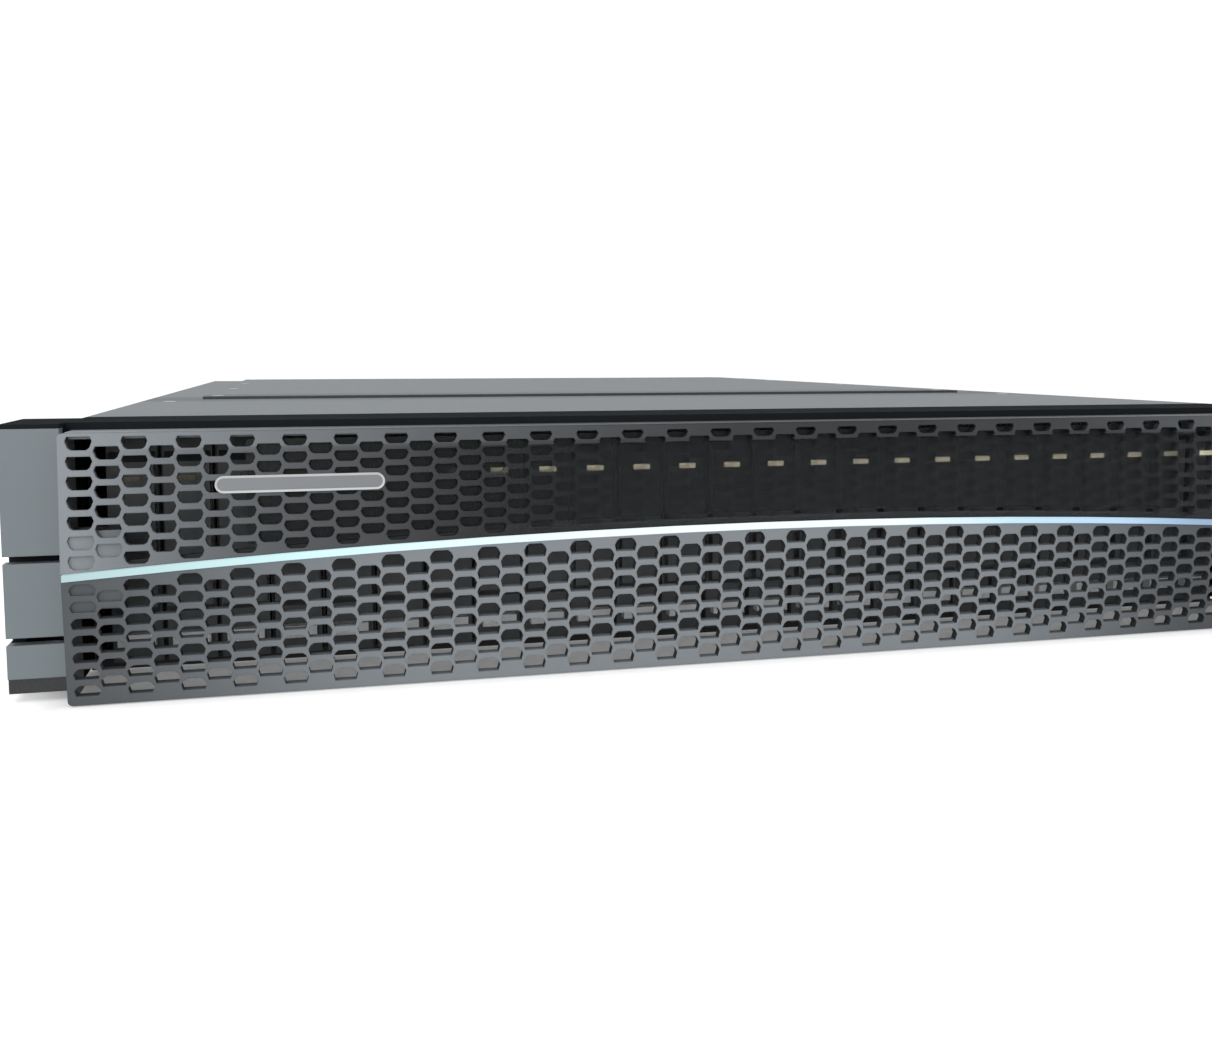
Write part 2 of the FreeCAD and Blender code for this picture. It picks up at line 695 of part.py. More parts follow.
def bezel_frame():
    """Top wall, side walls and lock blocks behind the grilles; the underside is open."""
    wall_top = bezel_top_z - BEZEL_WALL
    top = [(upper_back_y(wall_top), wall_top), (upper_back_y(bezel_top_z), bezel_top_z),
           (bezel_back_y, bezel_top_z), (bezel_back_y, wall_top)]
    solids = [prism_along_x(top, BEZEL_CORNER - bezel_half, bezel_half - BEZEL_CORNER)]
    for side in (-1, 1):
        outer = side * bezel_half
        inner = side * (bezel_half - BEZEL_WALL)
        wall = ridge_profile(BEZEL_FOOT_CORNER, wall_top, bezel_back_y)
        solids.append(prism_along_x(wall, inner, outer))
        profile = ridge_profile(LOCK_BLOCK_LOW_Z, LOCK_BLOCK_HIGH_Z, LOCK_BLOCK_BACK_Y)
        solids.append(prism_along_x(profile, side * lock_inner_x, inner))
    return solids


def arc_strip(half, rise, y0, y1):
    """A curved bar of even height along the arc."""
    top = arc_edge(half, rise, 0)
    bottom = arc_edge(half, -rise, 0)
    right = Part.LineSegment(top.Vertexes[1].Point, bottom.Vertexes[1].Point).toShape()
    left = Part.LineSegment(bottom.Vertexes[0].Point, top.Vertexes[0].Point).toShape()
    face = Part.Face(Part.Wire([top, right, bottom, left]))
    return moved(face.extrude(FRONT_TO_BACK * (y1 - y0)), 0, y0, 0)


def light_bar():
    """The curved light guide with a flange that holds it behind the grilles."""
    front = BEZEL_RIDGE_Y - LIGHT_PROUD
    back = front + LIGHT_STRIP_DEPTH
    flange_top = ARC_MIDDLE_Z + LIGHT_HEIGHT / 2 + LIGHT_FLANGE
    flange_low = ARC_END_Z - LIGHT_HEIGHT / 2 - LIGHT_FLANGE
    flange_front = max(upper_back_y(flange_top), lower_back_y(flange_low)) + LIGHT_SEAT_GAP
    flange_back = flange_front + LIGHT_FLANGE_DEPTH
    rise = LIGHT_HEIGHT / 2
    strip = arc_strip(bezel_half - LIGHT_SEAT_GAP, rise, front, back)
    neck = arc_strip(light_flange_half, LIGHT_NECK_HEIGHT / 2, back, flange_front)
    flange = arc_strip(light_flange_half, rise + LIGHT_FLANGE, flange_front, flange_back)
    return [fused([strip, neck, flange])]


def smoked_window():
    """The dark see-through sheet behind the middle of the upper grille."""
    far = (bezel_top_z - BEZEL_RIDGE_Z) / math.cos(upper_lean) - WINDOW_RIM
    outline = panel_outline(window_half, light_edge + LIGHT_FLANGE + WINDOW_LIGHT_GAP, far, BEZEL_CORNER)
    sheet = moved(perforated_sheet(outline, [], WINDOW), 0, GRILLE, 0)
    return [leaned(sheet, -UPPER_LEAN)]


# Drives

def drive_centre(index):
    """Middle of a drive slot across the bay."""
    return (index - (DRIVE_COUNT - 1) / 2) * drive_pitch


def drive_cage():
    """Guide plates above and below the drives, and the dividers between them."""
    front = -FLANGE
    back = front + CAGE_DEPTH
    floor_z = SHEET + CAGE_BOTTOM
    roof_z = cover_base_z - CAGE_TOP
    solids = [block(-wall_inner_x, wall_inner_x, front, back, SHEET, floor_z)]
    solids.append(block(-wall_inner_x, wall_inner_x, front, back, roof_z, cover_base_z))
    for index in range(DRIVE_COUNT + 1):
        x = drive_centre(index) - drive_pitch / 2
        solids.append(block(x - DIVIDER / 2, x + DIVIDER / 2, front, back, floor_z, roof_z))
    return solids


def drive_lever(x):
    """The handle on a carrier front, bevelled at both ends."""
    half = drive_half - DRIVE_LEVER_INSET
    front = DRIVE_FRONT_Y - DRIVE_LEVER_DEPTH
    low = DRIVE_LEVER_LOW_Z
    high = drive_lever_high_z
    profile = [(DRIVE_FRONT_Y, low), (front, low + DRIVE_LEVER_CHAMFER),
               (front, high - DRIVE_LEVER_CHAMFER), (DRIVE_FRONT_Y, high)]
    return prism_along_x(profile, x - half, x + half)


def drive(index):
    """One drive in its carrier."""
    x = drive_centre(index)
    half = drive_half
    core = half - DRIVE_BODY_INSET
    low_z = drive_bottom_z + DRIVE_RAIL
    high_z = drive_top_z - DRIVE_RAIL
    solids = [block(x - half, x + half, DRIVE_FRONT_Y, drive_body_y, drive_bottom_z, drive_top_z)]
    solids.append(block(x - core, x + core, drive_body_y, drive_back_y, low_z, high_z))
    solids.append(block(x - half, x + half, drive_body_y, drive_back_y, drive_bottom_z, low_z))
    solids.append(block(x - half, x + half, drive_body_y, drive_back_y, high_z, drive_top_z))
    solids.append(drive_lever(x))
    bar = half - RELEASE_BAR_INSET
    solids.append(block(x - bar, x + bar, DRIVE_FRONT_Y - RELEASE_BAR_DEPTH, DRIVE_FRONT_Y,
                        RELEASE_BAR_LOW_Z, RELEASE_BAR_LOW_Z + RELEASE_BAR_HEIGHT))
    lever_front = DRIVE_FRONT_Y - DRIVE_LEVER_DEPTH
    reach = GOLD_STRIP_WIDTH / 2
    rise = GOLD_STRIP_HEIGHT / 2
    solids.append(block(x - reach, x + reach, lever_front - GOLD_STRIP_DEPTH, lever_front,
                        gold_strip_z - rise, gold_strip_z + rise))
    pipe = LIGHT_PIPE / 2
    pipe_front = DRIVE_FRONT_Y - LIGHT_PIPE_DEPTH
    for offset in (-LIGHT_PIPE_OFFSET, LIGHT_PIPE_OFFSET):
        solids.append(block(x + offset - pipe, x + offset + pipe, pipe_front, DRIVE_FRONT_Y,
                            light_pipe_z - pipe, light_pipe_z + pipe))
    return solids


# Midplane and batteries

def controller_plug_places():
    """Centres across the midplane of the plugs of one controller."""
    first = -(REAR_PLUG_COUNT - 1) * REAR_PLUG_PITCH / 2
    return [first + REAR_PLUG_PITCH * i for i in range(REAR_PLUG_COUNT)]


def controller_plug_low_z(base_z):
    """Height of the plugs over a controller's underside."""
    return base_z + CASE + BOARD_STAND + BOARD


def bus_bar(side):
    """A bar that carries power from a power unit to the midplane."""
    outer = side * (wall_inner_x - BUS_BAR_SIDE_GAP)
    inner = side * (wall_inner_x - BUS_BAR_SIDE_GAP - BUS_BAR)
    back = battery_back_y + PSU_FRONT_GAP
    high = BUS_BAR_LOW_Z + BUS_BAR_HEIGHT
    bar = block(inner, outer, midplane_y, back, BUS_BAR_LOW_Z, high)
    foot_inner = side * (wall_inner_x - MIDPLANE_SIDE_GAP)
    foot = block(foot_inner, outer, midplane_y, midplane_back_y, BUS_BAR_LOW_Z, high)
    return fused([bar, foot])


def midplane():
    """The board between drives and controllers, with its plugs and the bus bars to the power units."""
    half = wall_inner_x - MIDPLANE_SIDE_GAP
    vent = MIDPLANE_VENT_WIDTH / 2
    vent_rows = (SHEET + MIDPLANE_VENT_EDGE, cover_base_z - MIDPLANE_VENT_EDGE - MIDPLANE_VENT_HEIGHT)
    holes = []
    for index in range(1, DRIVE_COUNT):
        x = drive_centre(index) - drive_pitch / 2
        for low in vent_rows:
            holes.append(window_wire(x - vent, x + vent, low, low + MIDPLANE_VENT_HEIGHT))
    board = perforated_sheet(window_wire(-half, half, SHEET, cover_base_z), holes, MIDPLANE)
    solids = [moved(board, 0, midplane_y, 0), bus_bar(-1), bus_bar(1)]
    plug = PLUG_WIDTH / 2
    for index in range(DRIVE_COUNT):
        x = drive_centre(index)
        solids.append(block(x - plug, x + plug, midplane_y - PLUG_DEPTH, midplane_y,
                            PLUG_LOW_Z, PLUG_LOW_Z + PLUG_HEIGHT))
    plug = REAR_PLUG_WIDTH / 2
    for base_z in (lower_controller_z, upper_controller_z):
        low = controller_plug_low_z(base_z)
        for x in controller_plug_places():
            solids.append(block(x - plug, x + plug, midplane_back_y, midplane_back_y + REAR_PLUG_DEPTH,
                                low, low + BOARD_PLUG_HEIGHT))
    return solids


def backup_batteries():
    """A battery pack in front of each power unit."""
    solids = []
    for side in (-1, 1):
        inner = side * (bay_wall_x + BATTERY_SIDE_GAP)
        outer = side * (wall_inner_x - BUS_BAR_SIDE_GAP - BUS_BAR - BATTERY_BUS_GAP)
        pack = block(inner, outer, module_front_y, battery_back_y, SHEET, cover_base_z - BATTERY_TOP_GAP)
        upright = [edge for edge in pack.Edges if edge.BoundBox.ZLength > BATTERY_CHAMFER]
        solids.append(pack.makeChamfer(BATTERY_CHAMFER, upright))
    return solids


# Levers

def lever_pivot_y():
    """Distance of a lever's pin from the rack plane."""
    return rear_face_y + LEVER_GAP + LEVER_THICKNESS / 2


def lever(pivot_x, direction, length, low_z, height):
    """A flat lever on an upright pin, with a finger lip at its free end; direction is 1 or -1 along X."""
    pivot_y = lever_pivot_y()
    half = LEVER_THICKNESS / 2
    high_z = low_z + height
    tip_x = pivot_x + direction * length
    bar = block(pivot_x, tip_x, pivot_y - half, pivot_y + half, low_z, high_z)
    knuckle = rod_along_z(half, pivot_x, pivot_y, low_z, high_z)
    lip_y = pivot_y + half
    lip = block(tip_x, tip_x - direction * LEVER_LIP, lip_y, lip_y + LEVER_LIP, low_z, high_z)
    bore = rod_along_z(LEVER_PIN_RADIUS + LEVER_PIN_CLEARANCE, pivot_x, pivot_y, low_z, high_z)
    return [fused([bar, knuckle, lip]).cut(bore)]


def lever_hinge(pivot_x, low_z, height):
    """The two tabs that hold a lever's pin, and the pin."""
    pivot_y = lever_pivot_y()
    back_y = pivot_y + LEVER_TAB_HALF
    high_z = low_z + height
    left = pivot_x - LEVER_TAB_HALF
    right = pivot_x + LEVER_TAB_HALF
    lower_top = low_z - LEVER_TAB_GAP
    upper_low = high_z + LEVER_TAB_GAP
    lower = block(left, right, rear_face_y, back_y, lower_top - LEVER_TAB, lower_top)
    upper = block(left, right, rear_face_y, back_y, upper_low, upper_low + LEVER_TAB)
    pin = rod_along_z(LEVER_PIN_RADIUS, pivot_x, pivot_y, lower_top, upper_low)
    return fused([lower, pin, upper])


# Controllers

def controller_lever_x(side):
    """Pin of a controller's ejector lever."""
    return side * (controller_half - CONTROLLER_LEVER_INSET)


def controller_lever_z(base_z):
    """Underside of the ejector levers of a controller."""
    return base_z + lever_rise


def io_centre(slot):
    """Middle of an interface module's slot across the controller."""
    return -controller_half + IO_EDGE + io_width / 2 + slot * (io_width + IO_SLOT_GAP)


def port_centre(index):
    """Middle of a network port."""
    return controller_half - PORT_EDGE - index * PORT_PITCH


def port_low_z(base_z):
    """Underside of the network ports' openings."""
    return base_z + CASE + BOARD_STAND + BOARD + PORT_WALL


def controller_panel(base_z):
    """The rear panel with the openings for the interface modules and the ports."""
    half = io_width / 2 + IO_OPENING_CLEARANCE
    low = base_z + io_opening_low
    holes = []
    for slot in (0, 1):
        x = io_centre(slot)
        holes.append(window_wire(x - half, x + half, low, low + io_height + 2 * IO_OPENING_CLEARANCE))
    port = PORT_WIDTH / 2
    port_low = port_low_z(base_z)
    for index in range(PORT_COUNT):
        x = port_centre(index)
        holes.append(window_wire(x - port, x + port, port_low, port_low + PORT_HEIGHT))
    outline = window_wire(-controller_half, controller_half, base_z, base_z + controller_height)
    return moved(perforated_sheet(outline, holes, PANEL), 0, panel_front_y, 0)


def port_jack(x, base_z):
    """A network socket, open to the rear."""
    low = port_low_z(base_z)
    half = PORT_WIDTH / 2
    wall = PORT_WALL
    front = panel_front_y - PORT_DEPTH
    high = low + PORT_HEIGHT
    shell = block(x - half - wall, x + half + wall, front - wall, panel_front_y, low - wall, high + wall)
    return shell.cut(block(x - half, x + half, front, panel_front_y, low, high))


def controller(base_z):
    """The canister: floor, walls, rear panel, module guides, sockets and lever hinges."""
    floor_z = base_z + CASE
    wall_top = base_z + controller_height - CASE_WALL_DROP
    solids = [block(-controller_half, controller_half, module_front_y, panel_front_y, base_z, floor_z)]
    solids.append(controller_panel(base_z))
    for side in (-1, 1):
        outer = side * controller_half
        inner = side * (controller_half - CASE)
        solids.append(block(inner, outer, module_front_y, panel_front_y, floor_z, wall_top))
        hinge_z = controller_lever_z(base_z)
        solids.append(lever_hinge(controller_lever_x(side), hinge_z, CONTROLLER_LEVER_HEIGHT))
    guide_top = base_z + IO_LOW - GUIDE_CLEARANCE
    guide_front = panel_front_y - IO_LENGTH
    for slot in (0, 1):
        for side in (-1, 1):
            outer = io_centre(slot) + side * io_width / 2
            inner = outer - side * IO_GUIDE
            solids.append(block(inner, outer, guide_front, panel_front_y, floor_z, guide_top))
    solids += [port_jack(port_centre(index), base_z) for index in range(PORT_COUNT)]
    return solids


def heat_sink(x, front_y, width, length, low_z, height, fins):
    """A finned block."""
    left = x - width / 2
    solids = [block(left, left + width, front_y, front_y + length, low_z, low_z + SINK_BASE)]
    step = (width - SINK_FIN) / (fins - 1)
    for index in range(fins):
        fin = left + step * index
        solids.append(block(fin, fin + SINK_FIN, front_y, front_y + length,
                            low_z + SINK_BASE, low_z + height))
    return fused(solids)


def memory_modules(x, front_y, low_z):
    """The upright memory cards on both sides of a heat sink."""
    solids = []
    half = MEMORY / 2
    for group in (-1, 1):
        for index in range(MEMORY_COUNT):
            middle = x + group * (sink_width / 2 + (index + 0.5) * MEMORY_PITCH)
            solids.append(block(middle - half, middle + half, front_y, front_y + MEMORY_LENGTH,
                                low_z, low_z + MEMORY_HEIGHT))
    return solids


def controller_board(base_z):
    """The main board on its stand-offs, with plugs, heat sinks and memory."""
    floor_z = base_z + CASE
    low = floor_z + BOARD_STAND
    top = low + BOARD
    front = module_front_y + BOARD_FRONT_GAP
    io_front = panel_front_y - IO_LENGTH - 2 * IO_PLUG_LENGTH
    port_side = port_centre(PORT_COUNT - 1) - PORT_WIDTH
    main = block(-board_half, board_half, front, io_front, low, top)
    wing = block(port_side, board_half, io_front, panel_front_y - BOARD_SIDE_GAP, low, top)
    solids = [fused([main, wing])]
    for x in (-board_half, -STANDOFF / 2, board_half - STANDOFF):
        for y in (front, io_front - STANDOFF):
            solids.append(block(x, x + STANDOFF, y, y + STANDOFF, floor_z, low))
    plug = REAR_PLUG_WIDTH / 2
    plug_front = midplane_back_y + REAR_PLUG_DEPTH + PLUG_GAP
    for x in controller_plug_places():
        solids.append(block(x - plug, x + plug, plug_front, front + PLUG_DEPTH,
                            top, top + BOARD_PLUG_HEIGHT))
    sink_front = front + SINK_FRONT_GAP
    for side in (-1, 1):
        x = side * sink_x
        solids.append(heat_sink(x, sink_front, sink_width, SINK_LENGTH, top, SINK_HEIGHT, SINK_FINS))
        solids += memory_modules(x, front + MEMORY_FRONT_GAP, top)
    return solids


def interface_module(slot, base_z):
    """A plug-in card: face plate, floor, board, two cages, heat sink, plug and thumb screws."""
    x = io_centre(slot)
    half = io_width / 2
    low = base_z + IO_LOW
    front = panel_front_y - IO_LENGTH
    face_front = rear_face_y + IO_FACE_GAP
    face_back = face_front + IO_FACE
    floor_top = low + CASE
    top = floor_top + BOARD
    cavity_low = top + CAGE_WALL
    cavity_high = cavity_low + CAGE_CAVITY_HEIGHT
    cavity_half = CAGE_CAVITY_WIDTH / 2
    cage_front = face_front - CAGE_LENGTH
    holes = []
    solids = [block(x - half, x + half, front, face_front, low, floor_top)]
    solids.append(block(x - half + CASE, x + half - CASE, front, face_front - CASE, floor_top, top))
    for offset in (-CAGE_OFFSET, CAGE_OFFSET):
        left = x + offset - cavity_half
        right = x + offset + cavity_half
        holes.append(window_wire(left, right, cavity_low, cavity_high))
        shell = block(left - CAGE_WALL, right + CAGE_WALL, cage_front - CAGE_WALL, face_front,
                      top, cavity_high + CAGE_WALL)
        solids.append(shell.cut(block(left, right, cage_front, face_front, cavity_low, cavity_high)))
    rim = half + IO_FACE_RIM
    face_low = low - IO_FACE_RIM
    face_high = low + io_height + IO_FACE_RIM
    face = perforated_sheet(window_wire(x - rim, x + rim, face_low, face_high), holes, IO_FACE)
    solids.append(moved(face, 0, face_front, 0))
    sink = io_width - 2 * IO_SINK_MARGIN
    solids.append(heat_sink(x, front + CASE, sink, IO_SINK_LENGTH, top, IO_SINK_HEIGHT, IO_SINK_FINS))
    plug = half - IO_PLUG_MARGIN
    solids.append(block(x - plug, x + plug, front - IO_PLUG_LENGTH, front, low, low + IO_PLUG_HEIGHT))
    middle = (face_low + face_high) / 2
    screw_end = face_back + THUMB_SCREW_LENGTH
    for side in (-1, 1):
        screw_x = x + side * (half - THUMB_SCREW_INSET)
        solids.append(rod_along_y(THUMB_SCREW_RADIUS, screw_x, middle, face_back, screw_end))
    return solids


# Power units

def psu_side(side, depth):
    """A place across the power unit, measured inward from its outer wall."""
    return side * (wall_inner_x - BAY_CLEARANCE - depth)


def psu_centre(side):
    """Middle of a power unit."""
    return side * (wall_inner_x + bay_wall_x) / 2


def psu_width():
    """Width of a power unit."""
    return PSU_BAY_WIDTH - 2 * BAY_CLEARANCE


def hex_wire(x, z, radius):
    """A closed hexagon in the plane Y = 0."""
    corners = []
    for index in range(6):
        angle = math.radians(60 * index)
        corners.append(V(x + radius * math.cos(angle), 0, z + radius * math.sin(angle)))
    return Part.makePolygon(corners + corners[:1])


def fan_vents(centre_x):
    """Hexagonal vents in front of the fan."""
    pitch_z = 2 * VENT_RADIUS * math.cos(math.radians(30)) + VENT_RIB
    pitch_x = pitch_z * math.cos(math.radians(30))
    reach = fan_blade_radius - VENT_RADIUS
    steps = int(fan_blade_radius / pitch_x) + 1
    wires = []
    for column in range(-steps, steps + 1):
        for row in range(-steps, steps + 1):
            dx = column * pitch_x
            dz = (row + (column % 2) / 2) * pitch_z
            if math.hypot(dx, dz) < reach:
                wires.append(hex_wire(centre_x + dx, fan_centre_z + dz, VENT_RADIUS))
    return wires


def inlet_edges(side):
    """Inner and outer limits of the power inlet's opening across the unit."""
    near = psu_side(side, psu_width() - INLET_SIDE_GAP - INLET_WALL)
    far = near + side * INLET_WIDTH
    return min(near, far), max(near, far)


def psu_panel(side):
    """The rear panel of a power unit, with the fan vents and the inlet opening."""
    left, right = inlet_edges(side)
    inlet = window_wire(left, right, inlet_low_z, inlet_low_z + INLET_HEIGHT)
    holes = fan_vents(psu_centre(side)) + [inlet]
    ends = sorted((psu_side(side, 0), psu_side(side, psu_width())))
    outline = window_wire(ends[0], ends[1], lower_controller_z, cover_base_z - BAY_CLEARANCE)
    return moved(perforated_sheet(outline, holes, PANEL), 0, panel_front_y, 0)


def power_inlet(side):
    """The socket for a power lead and its three pins."""
    left, right = inlet_edges(side)
    low = inlet_low_z
    high = low + INLET_HEIGHT
    front = panel_front_y - INLET_DEPTH
    wall = INLET_WALL
    shell = block(left - wall, right + wall, front - wall, panel_front_y, low - wall, high + wall)
    solids = [shell.cut(block(left, right, front, panel_front_y, low, high))]
    middle = (left + right) / 2
    half = INLET_PIN_WIDTH / 2
    for offset in (-INLET_PIN_SPACING, 0, INLET_PIN_SPACING):
        x = middle + offset
        z = (low + high) / 2
        solids.append(block(x - half, x + half, front, front + INLET_PIN_LENGTH,
                            z - INLET_PIN_HEIGHT / 2, z + INLET_PIN_HEIGHT / 2))
    return solids


def fan_frame(side):
    """The square frame of the fan, with the spider and pin that carry the rotor."""
    x = psu_centre(side)
    half = fan_frame_size / 2
    front = panel_front_y - FAN_FRAME_DEPTH
    frame = block(x - half, x + half, front, panel_front_y, fan_centre_z - half, fan_centre_z + half)
    frame = frame.cut(rod_along_y(fan_bore_radius, x, fan_centre_z, front, panel_front_y))
    arm = FAN_SPIDER_ARM / 2
    across = block(x - half, x + half, front, front + FAN_SPIDER, fan_centre_z - arm, fan_centre_z + arm)
    upright = block(x - arm, x + arm, front, front + FAN_SPIDER, fan_centre_z - half, fan_centre_z + half)
    disc = rod_along_y(FAN_SPIDER_RADIUS, x, fan_centre_z, front, front + FAN_SPIDER)
    pin_end = front + FAN_SPIDER + FAN_END_GAP + FAN_HUB_DEPTH
    pin = rod_along_y(FAN_PIN_RADIUS, x, fan_centre_z, front, pin_end)
    return fused([frame, across, upright, disc, pin])


def fan_rotor(side):
    """Hub and flat pitched blades on a bore."""
    x = psu_centre(side)
    front = panel_front_y - FAN_FRAME_DEPTH + FAN_SPIDER + FAN_END_GAP
    hub = rod_along_y(FAN_HUB_RADIUS, x, fan_centre_z, front, front + FAN_HUB_DEPTH)
    root = FAN_HUB_RADIUS - FAN_ROOT_SINK
    reach = fan_blade_radius
    half = FAN_BLADE_WIDTH / 2
    blades = []
    for index in range(FAN_BLADES):
        blade = block(root, reach, -half, half, -FAN_BLADE / 2, FAN_BLADE / 2)
        blade.rotate(V(0, 0, 0), V(1, 0, 0), 90 - FAN_BLADE_PITCH)
        blade.rotate(V(0, 0, 0), FRONT_TO_BACK, 360 / FAN_BLADES * index)
        blades.append(moved(blade, x, front + FAN_HUB_DEPTH / 2, fan_centre_z))
    bore = rod_along_y(FAN_PIN_RADIUS + FAN_PIN_CLEARANCE, x, fan_centre_z, front, front + FAN_HUB_DEPTH)
    return [fused([hub] + blades).cut(bore)]


def psu_lever_x(side):
    """Pin of a power unit's release lever."""
    return psu_side(side, PSU_LEVER_INSET)


def power_unit(side):
    """The case of a power unit with its fan frame, inlet, board and coils."""
    outer = psu_side(side, 0)
    inner = psu_side(side, psu_width())
    outer_face = psu_side(side, CASE)
    inner_face = psu_side(side, psu_width() - CASE)
    low = lower_controller_z
    high = cover_base_z - BAY_CLEARANCE
    front = battery_back_y + 2 * PSU_FRONT_GAP
    solids = [block(outer, inner, front, panel_front_y, low, low + CASE)]
    solids.append(block(outer, inner, front, panel_front_y, high - CASE, high))
    solids.append(block(outer, outer_face, front, panel_front_y, low + CASE, high - CASE))
    solids.append(block(inner_face, inner, front, panel_front_y, low + CASE, high - CASE))
    solids.append(block(outer_face, inner_face, front, front + PANEL, low + CASE, high - CASE))
    solids.append(psu_panel(side))
    solids.append(fan_frame(side))
    solids += power_inlet(side)
    board_top = low + CASE + PSU_BOARD_HEIGHT
    board_back = panel_front_y - INLET_DEPTH - 2 * INLET_WALL
    solids.append(block(outer_face, inner_face, front + PANEL, board_back, low + CASE, board_top))
    x = psu_centre(side)
    half = PSU_COIL_WIDTH / 2
    for index in range(PSU_COIL_COUNT):
        y = front + PSU_COIL_FRONT_GAP + index * PSU_COIL_PITCH
        solids.append(block(x - half, x + half, y, y + PSU_COIL_LENGTH,
                            board_top, board_top + PSU_COIL_HEIGHT))
    solids.append(lever_hinge(psu_lever_x(side), PSU_LEVER_Z, PSU_LEVER_HEIGHT))
    return solids


# The assembly

os.makedirs("parts", exist_ok=True)

export("chassis_tray", chassis_tray())
export("top_cover", top_cover())
export("rear_lid", rear_lid())
export("cover_screws", cover_screws())
export("front_frame", front_frame())
export("ear_covers", ear_covers())
export("left_release_button", release_button(-1))
export("right_release_button", release_button(1))
export("power_button", power_button())
export("drive_cage", drive_cage())
export("midplane", midplane())
export("backup_batteries", backup_batteries())

export("bezel_frame", bezel_frame())
export("upper_grille", upper_grille())
export("lower_grille", lower_grille())
export("light_bar", light_bar())
export("smoked_window", smoked_window())

for number in range(DRIVE_COUNT):
    export("drive_%02d" % (number + 1), drive(number))

for letter, base in (("a", upper_controller_z), ("b", lower_controller_z)):
    export("controller_" + letter, controller(base))
    export("controller_board_" + letter, controller_board(base))
    for hand, turn in (("left", -1), ("right", 1)):
        name = "controller_lever_" + letter + "_" + hand
        export(name, lever(controller_lever_x(turn), -turn, CONTROLLER_LEVER_LENGTH,
                           controller_lever_z(base), CONTROLLER_LEVER_HEIGHT))
    for place in (0, 1):
        export("interface_module_%s%d" % (letter, place + 1), interface_module(place, base))

for hand, turn in (("left", -1), ("right", 1)):
    export("power_unit_" + hand, power_unit(turn))
    export("power_fan_" + hand, fan_rotor(turn))
    export("power_lever_" + hand, lever(psu_lever_x(turn), -turn, PSU_LEVER_LENGTH,
                                        PSU_LEVER_Z, PSU_LEVER_HEIGHT))
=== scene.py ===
import json
import math

import bmesh
import bpy
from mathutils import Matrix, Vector

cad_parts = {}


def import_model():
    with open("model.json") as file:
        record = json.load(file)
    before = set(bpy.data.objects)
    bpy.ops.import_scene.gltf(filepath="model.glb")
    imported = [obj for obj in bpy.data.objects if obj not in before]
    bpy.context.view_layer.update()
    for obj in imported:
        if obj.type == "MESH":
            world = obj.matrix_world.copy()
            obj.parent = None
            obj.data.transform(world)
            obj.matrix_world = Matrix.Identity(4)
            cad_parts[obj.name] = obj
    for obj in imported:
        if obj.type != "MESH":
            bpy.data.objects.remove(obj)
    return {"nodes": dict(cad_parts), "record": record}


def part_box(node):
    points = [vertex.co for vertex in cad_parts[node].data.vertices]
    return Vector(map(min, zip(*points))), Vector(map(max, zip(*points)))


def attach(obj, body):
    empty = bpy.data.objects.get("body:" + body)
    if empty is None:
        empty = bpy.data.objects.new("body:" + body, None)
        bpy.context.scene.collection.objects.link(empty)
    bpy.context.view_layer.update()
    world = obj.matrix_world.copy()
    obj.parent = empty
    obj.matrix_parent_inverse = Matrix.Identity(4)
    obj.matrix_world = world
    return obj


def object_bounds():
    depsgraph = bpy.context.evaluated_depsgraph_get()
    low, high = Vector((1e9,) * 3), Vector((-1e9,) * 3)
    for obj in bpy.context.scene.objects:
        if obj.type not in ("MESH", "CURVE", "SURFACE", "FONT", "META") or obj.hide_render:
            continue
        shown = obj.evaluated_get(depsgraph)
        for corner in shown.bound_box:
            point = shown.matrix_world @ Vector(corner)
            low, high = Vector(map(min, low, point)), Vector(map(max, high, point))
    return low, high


# Sizes are in metres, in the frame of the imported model.

# Camera
CAMERA_PLACE = (-0.1504, -0.4166, 0.1057)
CAMERA_YAW = 0.249
CAMERA_DIP = 0.09
CAMERA_LENS = 34.58
CAMERA_SHIFT_Y = -0.0586
CAMERA_NEAR = 0.01

# Studio
FLOOR_SIZE = 30.0
FLOOR_DROP = 0.0004
FLOOR_COLOUR = (0.86, 0.86, 0.86)
FLOOR_ROUGH = 0.9
FLOOR_GLOW = 0.5
# Painted shade on the floor under the unit, where its glow is dimmed
SHADE_HALF_WIDTH = 0.222
SHADE_HALF_DEPTH = 0.296
SHADE_MIDDLE_Y = 0.258
SHADE_BLUR = 0.014
SHADE_SHARE = 0.3
WORLD_LIGHT = 0.6
KEY_PLACE = (-0.9, -0.45, 1.3)
KEY_SIZE = 1.6
KEY_POWER = 9.0
FILL_PLACE = (-0.55, -1.75, 0.5)
FILL_SIZE = 0.6
FILL_POWER = 9.0

# Finishes, as linear colours
BEZEL_GREY = (0.236, 0.259, 0.279)
EAR_GREY = (0.184, 0.215, 0.231)
COVER_GREY = (0.138, 0.16, 0.176)
FRAME_BLACK = (0.016, 0.0185, 0.0205)
BUTTON_SHADE = 1.4
CARRIER_GREY = (0.078, 0.084, 0.088)
RELEASE_GREY = (0.9, 0.91, 0.92)
PIPE_GREY = (0.05, 0.056, 0.058)
GOLD = (0.9, 0.83, 0.6)
SMOKE = (0.016, 0.018, 0.019)
SMOKE_TINT = 1.6
SMOKE_PATCH = 20
SMOKE_HAZE = 60
SMOKE_ROUGH = (0.2, 0.3)
SMOKE_GLOSS = 0.12
STEEL = (0.56, 0.57, 0.58)
CRYSTAL_SCALE = 130
CRYSTAL_TINTS = (0.9, 1.06)
CRYSTAL_ROUGH = (0.34, 0.52)
ZINC_GRAIN = 900
ZINC_DEPTH = 0.00002
NICKEL = (0.62, 0.62, 0.62)
KNOB_SHADE = 0.7
ALUMINIUM = (0.66, 0.67, 0.68)
BADGE_SILVER = (0.55, 0.56, 0.57)
BADGE_FIELD = (0.2, 0.21, 0.22)
COPPER = (0.72, 0.38, 0.22)
